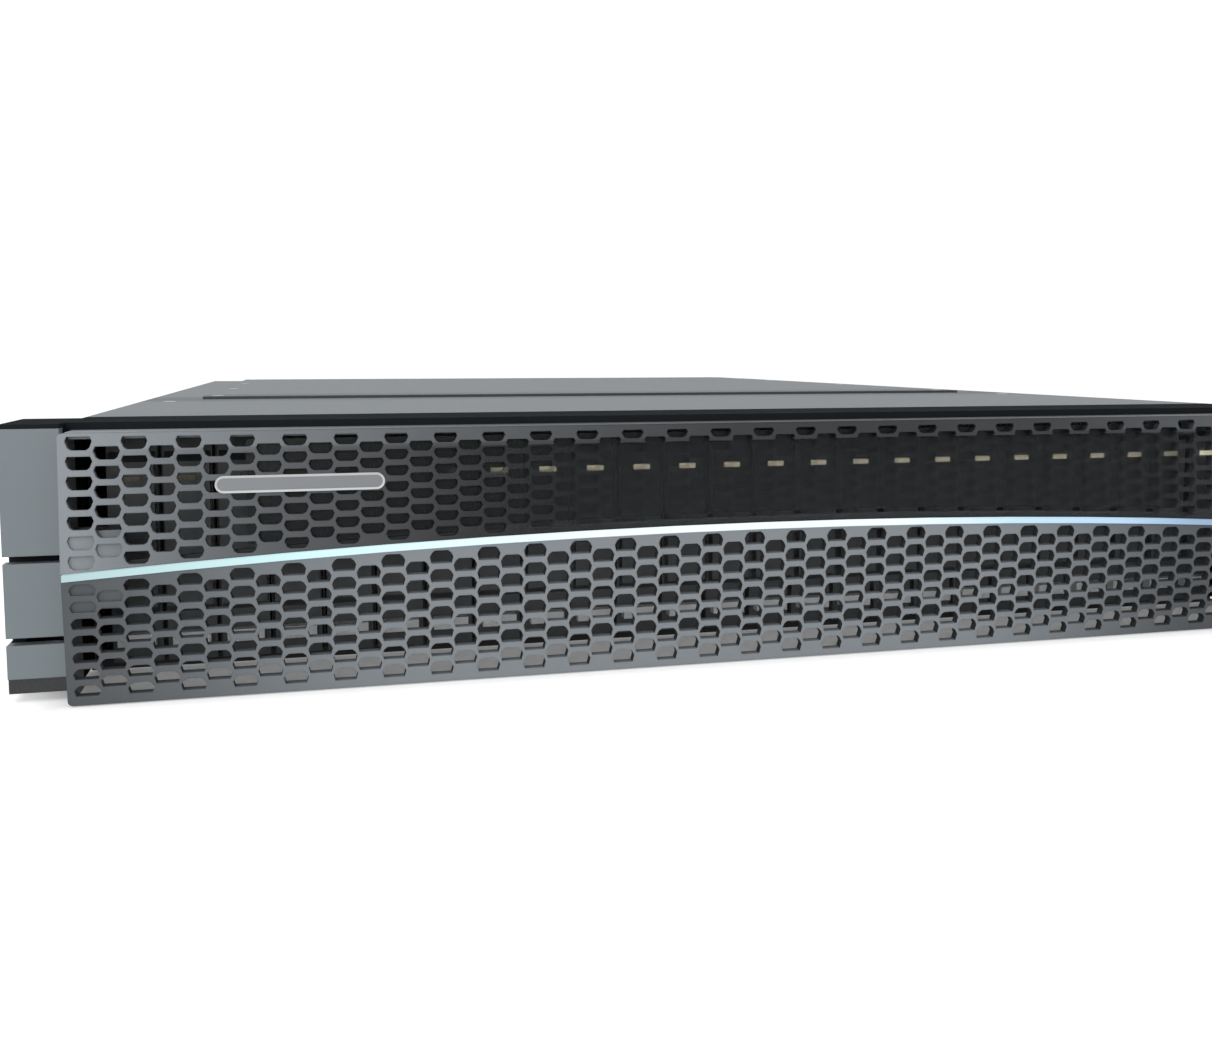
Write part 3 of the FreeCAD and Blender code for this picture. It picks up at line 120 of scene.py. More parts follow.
BOARD_GREEN = (0.012, 0.075, 0.04)
TRACK_SCALE = 60
TRACK_WIDTH = 0.04
TRACK_TINTS = (1.5, 2.6)
TRACK_DEPTH = 0.00005
BOARD_ROUGH = 0.32
MEMORY_SHADE = 0.6
PLASTIC_BLACK = (0.014, 0.014, 0.015)
LEVER_TEAL = (0.03, 0.10, 0.12)
LENS_GREEN = (0.1, 0.55, 0.16)
LENS_AMBER = (0.75, 0.32, 0.04)
LENS_GLOW = 0.4

# Satin paint
PAINT_PATCH = 11
PAINT_DRIFT = 0.05
PAINT_GRAIN = 1800
PAINT_DEPTH = 0.00003
PAINT_ROUGH = (0.4, 0.52)

# Range that most of a noise lies in
NOISE_LOW = 0.3
NOISE_HIGH = 0.7

# The bezel's paint fades to dark smoke towards the middle of the upper grille
FADE_MIDDLE = 0.045
FADE_REACH = 0.265
FADE_FLOOR = (0.027, 0.029, 0.032)
LATTICE_POWER = 6.0
RIM_POWER = 2.2
RIM_LOW = 0.0765
RIM_HIGH = 0.0785
RIM_INNER = 0.2178
RIM_OUTER = 0.219
CLEAR_START = 0.18
CLEAR_END = 0.09
CLEAR_ALPHA = 0.12
SMOKE_ALPHA = 0.68

# The lower grille is darker towards its ends, a painted shade
LOWER_MIDDLE = -0.02
LOWER_DARK_START = 0.09
LOWER_DARK_END = 0.215
LOWER_DARK = 0.3

# Painted shade along the joint between cover and lid
LID_FRONT = 0.165
SEAM_REACH = 0.045
SEAM_SHADE = 0.45

# Light bar: its colours by their share of the width
LIGHT_BACK = -0.0454
GUIDE_GREY = (0.05, 0.055, 0.06)
GUIDE_ROUGH = 0.4
GUIDE_GRAIN = 800
GUIDE_DEPTH = 0.00002
LIGHT_STOPS = (
    (0.04, (0.40, 0.58, 0.59)), (0.19, (0.62, 0.89, 0.91)), (0.38, (0.86, 0.95, 0.97)),
    (0.60, (0.88, 0.96, 0.97)), (0.70, (0.52, 0.76, 0.86)), (0.79, (0.46, 0.66, 0.88)),
    (0.86, (0.26, 0.40, 0.58)), (0.96, (0.2, 0.3, 0.46)),
)

# Grilles: rims that keep their paint around the vents
BEZEL_HALF = 0.2232
BEZEL_TOP = 0.0826
VENT_RIM = 0.0004
# Painted shade on the vent walls that look down or sideways
VENT_LEVEL = 0.3
VENT_FACING = 0.5
VENT_SHADE = 0.2
SIDE_FACING = 0.9

# Drives
GOLD_DEPTH = 0.0005
GOLD_LOW = 0.0645
GOLD_HIGH = 0.0665
# Painted glow on the brass strips, which gives way to a painted shade at the left end
GOLD_SHADE_X = -0.105
GOLD_GLOW_X = -0.075
GOLD_GLOW = 2.6
GOLD_SHADE = 0.08
GOLD_GRAIN = 900
GOLD_RELIEF = 0.00001
GOLD_ROUGH = (0.2, 0.32)
GOLD_METAL = 0.6
RELEASE_LOW = 0.009
RELEASE_HIGH = 0.014
PIPE_LOW = 0.076
PIPE_HIGH = 0.079
CARRIER_DEPTH = 0.016
RELEASE_DEPTH = CARRIER_DEPTH / 2
PIPE_DEPTH = CARRIER_DEPTH / 3

# Front edges of the cage and the tray, which are blackened as painted shade behind the bezel
CAGE_EDGE = 0.002
TRAY_EDGE = 0.004

# Dark toes under the ear covers
TOE_HIGH = 0.0073
TOE_BACK = -0.03

# Boards, modules and power units
HAIR = 0.0001
MIDPLANE_FRONT = 0.108
MIDPLANE_BACK = 0.1106
BUS_BAR_X = 0.2145
BOARD_RISE = 0.0046
BOARD_PLUG_LENGTH = 0.0135
SINK_INNER = 0.0338
SINK_OUTER = 0.1149
MODULE_PLUG_LENGTH = 0.008
MODULE_SINK_LENGTH = 0.087
MODULE_BOARD_RISE = 0.0041
MODULE_FACE = 0.0087
MODULE_SCREW = 0.005
PANEL_FRONT = 0.559
REAR_FACE = 0.561
PORT_REACH = 0.017
PORT_LEFT = 0.0945
PORT_RIGHT = 0.133
POWER_CASE = 0.001
POWER_SOCKET_DEPTH = 0.0206
POWER_BOARD = 0.003
POWER_COIL_HALF = 0.0172

# Badge
BADGE_LEFT = -0.179
BADGE_RIGHT = -0.128
BADGE_HEIGHT = 0.0052
BADGE_Z = 0.0663
BADGE_THICKNESS = 0.0011
BADGE_RIM = 0.0005
BADGE_STEPS = 12
GRILLE_LEAN = math.radians(4.0)
RIDGE_Y = -0.047
RIDGE_Z = 0.0435

# Studs, rivets, screws and lamps
TURN_STEPS = 24
DOME_STEPS = 5
SIDE_X = 0.2235
STUD_Z = 0.043
STUD_FIRST_Y = 0.045
STUD_PITCH = 0.16
STUD_COUNT = 4
STUD_HEAD = 0.0048
STUD_NECK = 0.003
STUD_REACH = 0.0055
STUD_EDGE = 0.9
RIVET_RADIUS = 0.0017
RIVET_PROUD = 0.0007
RIVET_FIRST_Y = 0.02
RIVET_PITCH = 0.052
RIVET_COUNT = 11
RIVET_ROWS = (0.008, 0.077)
SCREW_RADIUS = 0.0026
SCREW_PROUD = 0.0012
SCREW_SOCKET = 0.0012
LENS_RADIUS = 0.0013
LENS_PROUD = 0.0008
LENS_X = 0.084
LENS_PITCH = 0.006
LENS_RISE = 0.0085
PANEL_SCREW_X = (0.0665, 0.0895, 0.1445)
PANEL_SCREW_RISE = 0.0045
POWER_LENS_INSET = 0.007
POWER_LENS_Z = 0.0225
POWER_SCREW_INSET = 0.0045
POWER_SCREW_RISE = 0.005

# Rounding of painted edges
EDGE_ROUND = 0.0005
EDGE_SAMPLES = 4


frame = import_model()
cad_low, cad_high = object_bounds()
slot_of = {part["node"]: part["material_slot"] for part in frame["record"]["subparts"]}


# Shader building blocks

def scaled(colour, factor):
    """A colour made lighter or darker."""
    return tuple(channel * factor for channel in colour)


def object_place(tree, stretch=(1, 1, 1)):
    """The place on the object, stretched along its axes."""
    place = tree.nodes.new("ShaderNodeTexCoord")
    mapping = tree.nodes.new("ShaderNodeMapping")
    mapping.inputs["Scale"].default_value = stretch
    tree.links.new(place.outputs["Object"], mapping.inputs["Vector"])
    return mapping.outputs["Vector"]


def along(tree, axis):
    """The place on the object along one axis."""
    split = tree.nodes.new("ShaderNodeSeparateXYZ")
    tree.links.new(object_place(tree), split.inputs["Vector"])
    return split.outputs[axis]


def sum_of(tree, first, second, share=1.0):
    """The first value plus a share of the second."""
    node = tree.nodes.new("ShaderNodeMath")
    node.operation = "MULTIPLY_ADD"
    node.inputs[1].default_value = share
    tree.links.new(second, node.inputs[0])
    tree.links.new(first, node.inputs[2])
    return node.outputs["Value"]


def combined(tree, operation, first, second):
    """Two values joined into one, such as the larger of them or their product."""
    node = tree.nodes.new("ShaderNodeMath")
    node.operation = operation
    tree.links.new(first, node.inputs[0])
    tree.links.new(second, node.inputs[1])
    return node.outputs["Value"]


def distance(tree, axis, middle=0.0):
    """How far a place lies from a middle along one axis, on either side."""
    shift = tree.nodes.new("ShaderNodeMath")
    shift.operation = "SUBTRACT"
    shift.inputs[1].default_value = middle
    tree.links.new(along(tree, axis), shift.inputs[0])
    size = tree.nodes.new("ShaderNodeMath")
    size.operation = "ABSOLUTE"
    tree.links.new(shift.outputs["Value"], size.inputs[0])
    return size.outputs["Value"]


def noise(tree, place, scale, detail):
    """Soft random patches, from 0 to 1."""
    node = tree.nodes.new("ShaderNodeTexNoise")
    node.inputs["Scale"].default_value = scale
    node.inputs["Detail"].default_value = detail
    tree.links.new(place, node.inputs["Vector"])
    return node.outputs["Fac"]


def tint(tree, factor, first, second):
    """A colour between two others."""
    node = tree.nodes.new("ShaderNodeMix")
    node.data_type = "RGBA"
    node.inputs["A"].default_value = (*first, 1)
    node.inputs["B"].default_value = (*second, 1)
    tree.links.new(factor, node.inputs["Factor"])
    return node.outputs["Result"]


def mapped(tree, value, low, high, to_low, to_high, smooth=False):
    """A value carried from one range to another."""
    node = tree.nodes.new("ShaderNodeMapRange")
    node.interpolation_type = "SMOOTHSTEP" if smooth else "LINEAR"
    node.inputs["From Min"].default_value = low
    node.inputs["From Max"].default_value = high
    node.inputs["To Min"].default_value = to_low
    node.inputs["To Max"].default_value = to_high
    tree.links.new(value, node.inputs["Value"])
    return node.outputs["Result"]


def relief(tree, shader, height, depth, edge=0.0):
    """Bumps of a depth, over edges that are rounded by a radius."""
    node = tree.nodes.new("ShaderNodeBump")
    node.inputs["Distance"].default_value = depth
    tree.links.new(height, node.inputs["Height"])
    if edge:
        bevel = tree.nodes.new("ShaderNodeBevel")
        bevel.samples = EDGE_SAMPLES
        bevel.inputs["Radius"].default_value = edge
        tree.links.new(bevel.outputs["Normal"], node.inputs["Normal"])
    tree.links.new(node.outputs["Normal"], shader.inputs["Normal"])


def started(name):
    """A new material with its node tree and main shader."""
    material = bpy.data.materials.new(name)
    material.use_nodes = True
    return material, material.node_tree, material.node_tree.nodes["Principled BSDF"]


def surface(name, colour, shade, patch, grain, depth, rough, metallic=0.0, specular=0.4,
            stretch=(1, 1, 1), edge=0.0):
    """A material with drifting colour and a fine grain in its relief and gloss."""
    material, tree, shader = started(name)
    shader.inputs["Metallic"].default_value = metallic
    shader.inputs["Specular IOR Level"].default_value = specular
    place = object_place(tree, stretch)
    patches = noise(tree, place, patch, 4)
    fine = noise(tree, place, grain, 2)
    colours = tint(tree, patches, scaled(colour, 1 - shade), scaled(colour, 1 + shade))
    tree.links.new(colours, shader.inputs["Base Color"])
    tree.links.new(mapped(tree, fine, NOISE_LOW, NOISE_HIGH, *rough), shader.inputs["Roughness"])
    relief(tree, shader, fine, depth, edge)
    return material


def painted(name, factor_of, dark, bright, specular=0.3, alpha_of=None):
    """Satin paint between two colours, by a factor that is worked out in the node tree."""
    material, tree, shader = started(name)
    shader.inputs["Specular IOR Level"].default_value = specular
    place = object_place(tree)
    fine = noise(tree, place, PAINT_GRAIN, 2)
    patches = noise(tree, place, PAINT_PATCH, 4)
    drift = mapped(tree, patches, NOISE_LOW, NOISE_HIGH, -PAINT_DRIFT, PAINT_DRIFT)
    factor = sum_of(tree, factor_of(tree), drift)
    tree.links.new(tint(tree, factor, dark, bright), shader.inputs["Base Color"])
    rough = mapped(tree, fine, NOISE_LOW, NOISE_HIGH, *PAINT_ROUGH)
    tree.links.new(rough, shader.inputs["Roughness"])
    if alpha_of:
        tree.links.new(alpha_of(tree), shader.inputs["Alpha"])
    relief(tree, shader, fine, PAINT_DEPTH, EDGE_ROUND)
    return material


# Materials

def seam_factor(tree):
    """0 on the joint between cover and lid, 1 away from it."""
    return mapped(tree, distance(tree, "Y", LID_FRONT), 0, SEAM_REACH, 0, 1, smooth=True)


def cover_paint():
    """Fine satin paint on sheet metal, with a painted shade along the joint of the lid."""
    shaded = scaled(COVER_GREY, SEAM_SHADE)
    return painted("cover_paint", seam_factor, shaded, COVER_GREY, specular=0.15)


def rim_factor(tree):
    """1 on the top rim and the side rims of the bezel, 0 on the lattice between them."""
    top = mapped(tree, along(tree, "Z"), RIM_LOW, RIM_HIGH, 0, 1, smooth=True)
    side = mapped(tree, distance(tree, "X"), RIM_INNER, RIM_OUTER, 0, 1, smooth=True)
    return combined(tree, "MAXIMUM", top, side)


def fade_factor(tree):
    """1 at the ends of the upper grille, 0 in its middle; the lattice fades sooner than the rim."""
    reach = mapped(tree, distance(tree, "X", FADE_MIDDLE), 0, FADE_REACH, 0, 1)
    power = mapped(tree, rim_factor(tree), 0, 1, LATTICE_POWER, RIM_POWER)
    return combined(tree, "POWER", reach, power)


def clear_factor(tree):
    """How much of the upper grille hides what is behind it; its rim hides all."""
    reach = sum_of(tree, distance(tree, "X", FADE_MIDDLE), rim_factor(tree))
    return mapped(tree, reach, CLEAR_END, CLEAR_START, CLEAR_ALPHA, 1, smooth=True)


def fading_grille():
    """Bezel paint at both ends that fades to clear smoke in the middle."""
    return painted("fading_grille", fade_factor, FADE_FLOOR, BEZEL_GREY, alpha_of=clear_factor)


def fading_vents():
    """Painted shade on the vent walls of the upper grille, which fades to clear smoke too."""
    shaded = scaled(BEZEL_GREY, VENT_SHADE)
    return painted("fading_vents", fade_factor, SMOKE, shaded, specular=0.1, alpha_of=clear_factor)


def fading_frame():
    """Bezel paint on the walls of the bezel, dark in the middle of the top."""
    return painted("fading_frame", fade_factor, FADE_FLOOR, BEZEL_GREY)


def lower_factor(tree):
    """1 in the middle of the lower grille, 0 at its ends."""
    reach = distance(tree, "X", LOWER_MIDDLE)
    return mapped(tree, reach, LOWER_DARK_START, LOWER_DARK_END, 1, 0, smooth=True)


def lower_paint():
    """Bezel paint with a painted shade that darkens it towards both ends."""
    return painted("lower_paint", lower_factor, scaled(BEZEL_GREY, LOWER_DARK), BEZEL_GREY)


def vent_shade_plastic():
    """Dark plastic, used as a painted shade on the vent walls that look down or sideways."""
    return surface("vent_shade_plastic", scaled(BEZEL_GREY, VENT_SHADE), shade=0.1, patch=20, grain=1800,
                   depth=0.00003, rough=(0.5, 0.6), specular=0.1)


def ear_paint():
    """Satin paint on the ear covers."""
    return surface("ear_paint", EAR_GREY, shade=0.07, patch=14, grain=PAINT_GRAIN, depth=PAINT_DEPTH,
                   rough=PAINT_ROUGH, specular=0.3, edge=EDGE_ROUND)


def frame_plastic():
    """Black grained plastic of the front frame."""
    return surface("frame_plastic", FRAME_BLACK, shade=0.15, patch=30, grain=1600, depth=0.00005,
                   rough=(0.8, 0.95), specular=0.01, edge=EDGE_ROUND)


def button_plastic():
    """Smooth dark plastic of the buttons."""
    return surface("button_plastic", scaled(FRAME_BLACK, BUTTON_SHADE), shade=0.1, patch=60, grain=2400,
                   depth=0.00001, rough=(0.2, 0.3))


def carrier_plastic():
    """Dark plastic of the drive carriers."""
    return surface("carrier_plastic", CARRIER_GREY, shade=0.12, patch=40, grain=2000, depth=0.00003,
                   rough=(0.4, 0.55))


def release_plastic():
    """Pale grey plastic of the release bars on the carriers."""
    return surface("release_plastic", RELEASE_GREY, shade=0.06, patch=60, grain=2000, depth=0.00002,
                   rough=(0.4, 0.5))


def black_plastic():
    """Black plastic of sockets, fans and plugs."""
    return surface("black_plastic", PLASTIC_BLACK, shade=0.12, patch=50, grain=1800, depth=0.00003,
                   rough=(0.35, 0.5))


def lever_plastic():
    """Coloured plastic of the levers that are meant to be touched."""
    return surface("lever_plastic", LEVER_TEAL, shade=0.08, patch=50, grain=1800, depth=0.00003,
                   rough=(0.35, 0.48), edge=EDGE_ROUND)


def brushed_metal(name, colour):
    """Metal brushed along its length."""
    return surface(name, colour, shade=0.07, patch=25, grain=700, depth=0.00002, rough=(0.3, 0.46),
                   metallic=1.0, stretch=(1, 0.04, 1))


def knob_steel():
    """Darker steel of the thumb screws."""
    return surface("knob_steel", scaled(NICKEL, KNOB_SHADE), shade=0.05, patch=60, grain=1500,
                   depth=0.00003, rough=(0.25, 0.4), metallic=1.0)


def fastener_steel():
    """Bright steel of studs, rivets and screws."""
    return surface("fastener_steel", NICKEL, shade=0.05, patch=80, grain=1500, depth=0.00002,
                   rough=(0.25, 0.38), metallic=1.0)


def badge_metal():
    """Satin silver of the badge's rim."""
    return surface("badge_metal", BADGE_SILVER, shade=0.04, patch=40, grain=1600, depth=0.00002,
                   rough=(0.4, 0.5), metallic=0.1)


def badge_field():
    """Grey field of the badge, brushed along its length."""
    return surface("badge_field", BADGE_FIELD, shade=0.05, patch=60, grain=900, depth=0.00002,
                   rough=(0.35, 0.45), stretch=(0.05, 1, 1))


def galvanised_steel():
    """Zinc coated sheet with its crystal patches."""
    material, tree, shader = started("galvanised_steel")
    shader.inputs["Metallic"].default_value = 1.0
    place = object_place(tree)
    crystals = tree.nodes.new("ShaderNodeTexVoronoi")
    crystals.inputs["Scale"].default_value = CRYSTAL_SCALE
    tree.links.new(place, crystals.inputs["Vector"])
    split = tree.nodes.new("ShaderNodeSeparateColor")
    tree.links.new(crystals.outputs["Color"], split.inputs["Color"])
    patch = split.outputs["Red"]
    dark, bright = CRYSTAL_TINTS
    colours = tint(tree, patch, scaled(STEEL, dark), scaled(STEEL, bright))
    tree.links.new(colours, shader.inputs["Base Color"])
    tree.links.new(mapped(tree, patch, 0, 1, *CRYSTAL_ROUGH), shader.inputs["Roughness"])
    relief(tree, shader, noise(tree, place, ZINC_GRAIN, 2), ZINC_DEPTH)
    return material


def circuit_board():
    """Green solder mask with a pattern of tracks."""
    material, tree, shader = started("circuit_board")
    shader.inputs["Roughness"].default_value = BOARD_ROUGH
    place = object_place(tree)
    bright, brightest = TRACK_TINTS
    tracks = tree.nodes.new("ShaderNodeTexBrick")
    tracks.inputs["Scale"].default_value = TRACK_SCALE
    tracks.inputs["Mortar Size"].default_value = TRACK_WIDTH
    tracks.inputs["Color1"].default_value = (*BOARD_GREEN, 1)
    tracks.inputs["Color2"].default_value = (*scaled(BOARD_GREEN, bright), 1)
    tracks.inputs["Mortar"].default_value = (*scaled(BOARD_GREEN, brightest), 1)
    tree.links.new(place, tracks.inputs["Vector"])
    tree.links.new(tracks.outputs["Color"], shader.inputs["Base Color"])
    relief(tree, shader, tracks.outputs["Fac"], TRACK_DEPTH)
    return material


def memory_card():
    """Dark green memory cards."""
    return surface("memory_card", scaled(BOARD_GREEN, MEMORY_SHADE), shade=0.3, patch=120, grain=1200,
                   depth=0.00004, rough=(0.3, 0.45))


def gold_strip():
    """Brass-coloured strip with a painted glow behind the smoked sheet, and a painted shade at its left
    end.
    """
    material, tree, shader = started("gold_strip")
    shader.inputs["Metallic"].default_value = GOLD_METAL
    shader.inputs["Specular IOR Level"].default_value = 0.4
    shader.inputs["Emission Color"].default_value = (*GOLD, 1)
    fine = noise(tree, object_place(tree), GOLD_GRAIN, 2)
    rough = mapped(tree, fine, NOISE_LOW, NOISE_HIGH, *GOLD_ROUGH)
    tree.links.new(rough, shader.inputs["Roughness"])
    relief(tree, shader, fine, GOLD_RELIEF)
    # Painted glow in the middle, painted shade towards the left end
    glow_share = mapped(tree, along(tree, "X"), GOLD_SHADE_X, GOLD_GLOW_X, 0, 1)
    tree.links.new(tint(tree, glow_share, scaled(GOLD, GOLD_SHADE), GOLD), shader.inputs["Base Color"])
    tree.links.new(mapped(tree, glow_share, 0, 1, 0, GOLD_GLOW), shader.inputs["Emission Strength"])
    return material


def light_pipe():
    """Dull end of an unlit light pipe."""
    return surface("light_pipe", PIPE_GREY, shade=0.08, patch=200, grain=1500, depth=0.00001,
                   rough=(0.3, 0.4))


def lens_plastic(name, colour):
    """Clear coloured lens of a status lamp."""
    material = surface(name, colour, shade=0.1, patch=300, grain=2000, depth=0.00001,
                       rough=(0.12, 0.2), specular=0.5)
    shader = material.node_tree.nodes["Principled BSDF"]
    shader.inputs["Emission Color"].default_value = (*colour, 1)
    shader.inputs["Emission Strength"].default_value = LENS_GLOW
    return material


def smoked_plastic():
    """Dark see-through sheet."""
    material, tree, shader = started("smoked_plastic")
    shader.inputs["Alpha"].default_value = SMOKE_ALPHA
    shader.inputs["Specular IOR Level"].default_value = SMOKE_GLOSS
    place = object_place(tree)
    colours = tint(tree, noise(tree, place, SMOKE_PATCH, 3), SMOKE, scaled(SMOKE, SMOKE_TINT))
    tree.links.new(colours, shader.inputs["Base Color"])
    haze = noise(tree, place, SMOKE_HAZE, 3)
    rough = mapped(tree, haze, NOISE_LOW, NOISE_HIGH, *SMOKE_ROUGH)
    tree.links.new(rough, shader.inputs["Roughness"])
    return material


def light_guide():
    """Frosted guide that glows aqua on the left, white in the middle and blue on the right."""
    material, tree, shader = started("light_guide")
    shader.inputs["Base Color"].default_value = (*GUIDE_GREY, 1)
    shader.inputs["Roughness"].default_value = GUIDE_ROUGH
    shader.inputs["Emission Strength"].default_value = 1.0
    ramp = tree.nodes.new("ShaderNodeValToRGB")
    while len(ramp.color_ramp.elements) < len(LIGHT_STOPS):
        ramp.color_ramp.elements.new(0.5)
    for element, (position, colour) in zip(ramp.color_ramp.elements, LIGHT_STOPS):
        element.position = position
        element.color = (*colour, 1)
    share = mapped(tree, along(tree, "X"), cad_low.x, cad_high.x, 0, 1)
    tree.links.new(share, ramp.inputs["Fac"])
    tree.links.new(ramp.outputs["Color"], shader.inputs["Emission Color"])
    relief(tree, shader, noise(tree, object_place(tree), GUIDE_GRAIN, 2), GUIDE_DEPTH)
    return material


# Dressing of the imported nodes

def dress(slot, material):
    """Gives one finish to every node of a slot."""
    for node, obj in frame["nodes"].items():
        if slot_of[node] == slot:
            obj.data.materials.clear()
            obj.data.materials.append(material)


def anywhere(normal):
    """True for every face."""
    return True


def is_side(normal):
    """True for faces that look left or right."""
    return abs(normal.x) > SIDE_FACING


def is_vent_wall(normal):
    """True for the walls of a vent that look down or sideways."""
    return abs(normal.y) < VENT_FACING and normal.z < VENT_LEVEL


def paint(node, material, low, high, wanted=anywhere):
    """Gives a finish to the wanted faces of a node whose centres lie in a box."""
    mesh = frame["nodes"][node].data
    if material.name not in mesh.materials:
        mesh.materials.append(material)
    index = mesh.materials.find(material.name)
    for face in mesh.polygons:
        inside = all(low[i] <= face.center[i] <= high[i] for i in range(3))
        if inside and wanted(face.normal):
            face.material_index = index


def dress_grilles():
    """Paints shade on the vent walls that look down or sideways, and darkens what holds the light bar
    behind the grilles.
    """
    low = (VENT_RIM - BEZEL_HALF, cad_low.y, VENT_RIM)
    high = (BEZEL_HALF - VENT_RIM, 0, BEZEL_TOP - VENT_RIM)
    vents = vent_shade_plastic()
    paint("upper_grille", fading_vents(), low, high, is_vent_wall)
    paint("lower_grille", vents, low, high, is_vent_wall)
    paint("light_bar", vents, (cad_low.x, LIGHT_BACK, 0), cad_high)


def dress_drives(finishes):
    """Paints the gold strip, release bar, light pipes and metal case of each drive."""
    for node in frame["nodes"]:
        if not node.startswith("drive_") or node == "drive_cage":
            continue
        low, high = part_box(node)
        front = low.y - HAIR
        paint(node, finishes["aluminium"], (low.x, low.y + CARRIER_DEPTH + HAIR, low.z), high)
        paint(node, finishes["aluminium"], (low.x - HAIR, low.y, low.z),
              (high.x + HAIR, high.y, high.z), is_side)
        gold_back = low.y + GOLD_DEPTH + HAIR
        paint(node, finishes["gold"], (low.x, front, GOLD_LOW), (high.x, gold_back, GOLD_HIGH))
        paint(node, finishes["release"], (low.x, front, RELEASE_LOW),
              (high.x, low.y + RELEASE_DEPTH, RELEASE_HIGH))
        paint(node, finishes["pipe"], (low.x, front, PIPE_LOW),
              (high.x, low.y + PIPE_DEPTH, PIPE_HIGH))


def dress_front_edges(black):
    """Blackens the front edges of the drive cage and of the tray behind the bezel, as painted shade."""
    paint("drive_cage", black, cad_low, (cad_high.x, CAGE_EDGE, cad_high.z))
    paint("chassis_tray", black, (-BEZEL_HALF, cad_low.y, 0), (BEZEL_HALF, TRAY_EDGE, cad_high.z))


def dress_midplane(finishes):
    """Paints the plugs and bus bars of the midplane."""
    low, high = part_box("midplane")
    paint("midplane", finishes["black"], low, (high.x, MIDPLANE_FRONT - HAIR, high.z))
    paint("midplane", finishes["black"], (low.x, MIDPLANE_BACK + HAIR, low.z), high)
    for start, end in ((low.x, -BUS_BAR_X), (BUS_BAR_X, high.x)):
        paint("midplane", finishes["copper"], (start - HAIR, low.y, low.z), (end + HAIR, high.y, high.z))


def dress_board(node, finishes):
    """Paints the plugs, memory and heat sinks on a controller's board."""
    low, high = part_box(node)
    top = low.z + BOARD_RISE + HAIR
    paint(node, finishes["memory"], (low.x, low.y, top), high)
    paint(node, finishes["black"], (low.x, low.y, top - HAIR),
          (high.x, low.y + BOARD_PLUG_LENGTH, high.z))
    for side in (-1, 1):
        left, right = sorted((side * SINK_INNER, side * SINK_OUTER))
        paint(node, finishes["aluminium"], (left, low.y + BOARD_PLUG_LENGTH, top),
              (right, high.y, high.z))


def dress_controller(node, finishes):
    """Paints the sockets and lever hinges of a controller."""
    low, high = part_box(node)
    paint(node, finishes["black"], (PORT_LEFT, PANEL_FRONT - PORT_REACH, low.z + BOARD_RISE),
          (PORT_RIGHT, PANEL_FRONT - HAIR, high.z))
    paint(node, finishes["nickel"], (low.x, REAR_FACE + HAIR, low.z), high)


def dress_module(node, finishes):
    """Paints the plug, board, heat sink and thumb screws of an interface module."""
    low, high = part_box(node)
    board = low.z + MODULE_BOARD_RISE
    plug = low.y + MODULE_PLUG_LENGTH
    sink = plug + MODULE_SINK_LENGTH
    face = high.y - MODULE_FACE
    paint(node, finishes["board"], (low.x, plug, board - HAIR), (high.x, face, board + HAIR))
    paint(node, finishes["aluminium"], (low.x, plug, board + HAIR), (high.x, sink, high.z))
    paint(node, finishes["black"], low, (high.x, plug + HAIR, high.z))
    paint(node, finishes["knob"], (low.x, high.y - MODULE_SCREW + HAIR, low.z),
          (high.x, high.y + HAIR, high.z))


def dress_power_unit(node, finishes):
    """Paints the fan frame, inlet, board, coils and hinge of a power unit."""
    low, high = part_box(node)
    middle = (low.x + high.x) / 2
    case = POWER_CASE + HAIR
    board = low.z + POWER_CASE + POWER_BOARD
    socket = PANEL_FRONT - POWER_SOCKET_DEPTH
    paint(node, finishes["board"], (low.x + case, low.y, low.z + case),
          (high.x - case, socket, board + HAIR))
    paint(node, finishes["copper"], (middle - POWER_COIL_HALF, low.y + PORT_REACH, board + HAIR),
          (middle + POWER_COIL_HALF, socket, high.z - case))
    paint(node, finishes["black"], (low.x + case, socket, low.z + case),
          (high.x - case, PANEL_FRONT + HAIR / 2, high.z - case))
    paint(node, finishes["nickel"], (low.x, REAR_FACE + HAIR, low.z), high)


def dress_all():
    """Gives every node its finish."""
    black = black_plastic()
    steel = galvanised_steel()
    nickel = brushed_metal("nickel", NICKEL)
    board = circuit_board()
    finishes = {
        "black": black,
        "nickel": nickel,
        "board": board,
        "aluminium": brushed_metal("aluminium", ALUMINIUM),
        "copper": brushed_metal("copper", COPPER),
        "memory": memory_card(),
        "knob": knob_steel(),
        "gold": gold_strip(),
        "release": release_plastic(),
        "pipe": light_pipe(),
    }
    slots = {
        "cover_grey": cover_paint(),
        "tray_steel": steel,
        "screw_steel": nickel,
        "frame_black": frame_plastic(),
        "ear_grey": ear_paint(),
        "button_dark": button_plastic(),
        "cage_steel": steel,
        "circuit_green": board,
        "battery_black": black,
        "bezel_grey": lower_paint(),
        "bezel_fade": fading_grille(),
        "smoked_sheet": smoked_plastic(),
        "light_guide": light_guide(),
        "carrier_dark": carrier_plastic(),
        "canister_steel": steel,
        "lever_teal": lever_plastic(),
        "module_steel": nickel,
        "power_steel": steel,
        "fan_black": black,
    }
    for slot, material in slots.items():
        dress(slot, material)
    paint("bezel_frame", fading_frame(), cad_low, cad_high)
    paint("front_frame", slots["button_dark"], cad_low, (cad_high.x, TOE_BACK, TOE_HIGH))
    dress_grilles()
    dress_drives(finishes)
    dress_front_edges(black)
    dress_midplane(finishes)
    for letter in "ab":
        dress_board("controller_board_" + letter, finishes)
        dress_controller("controller_" + letter, finishes)
        for place in "12":
            dress_module("interface_module_" + letter + place, finishes)
    for hand in ("left", "right"):
        dress_power_unit("power_unit_" + hand, finishes)


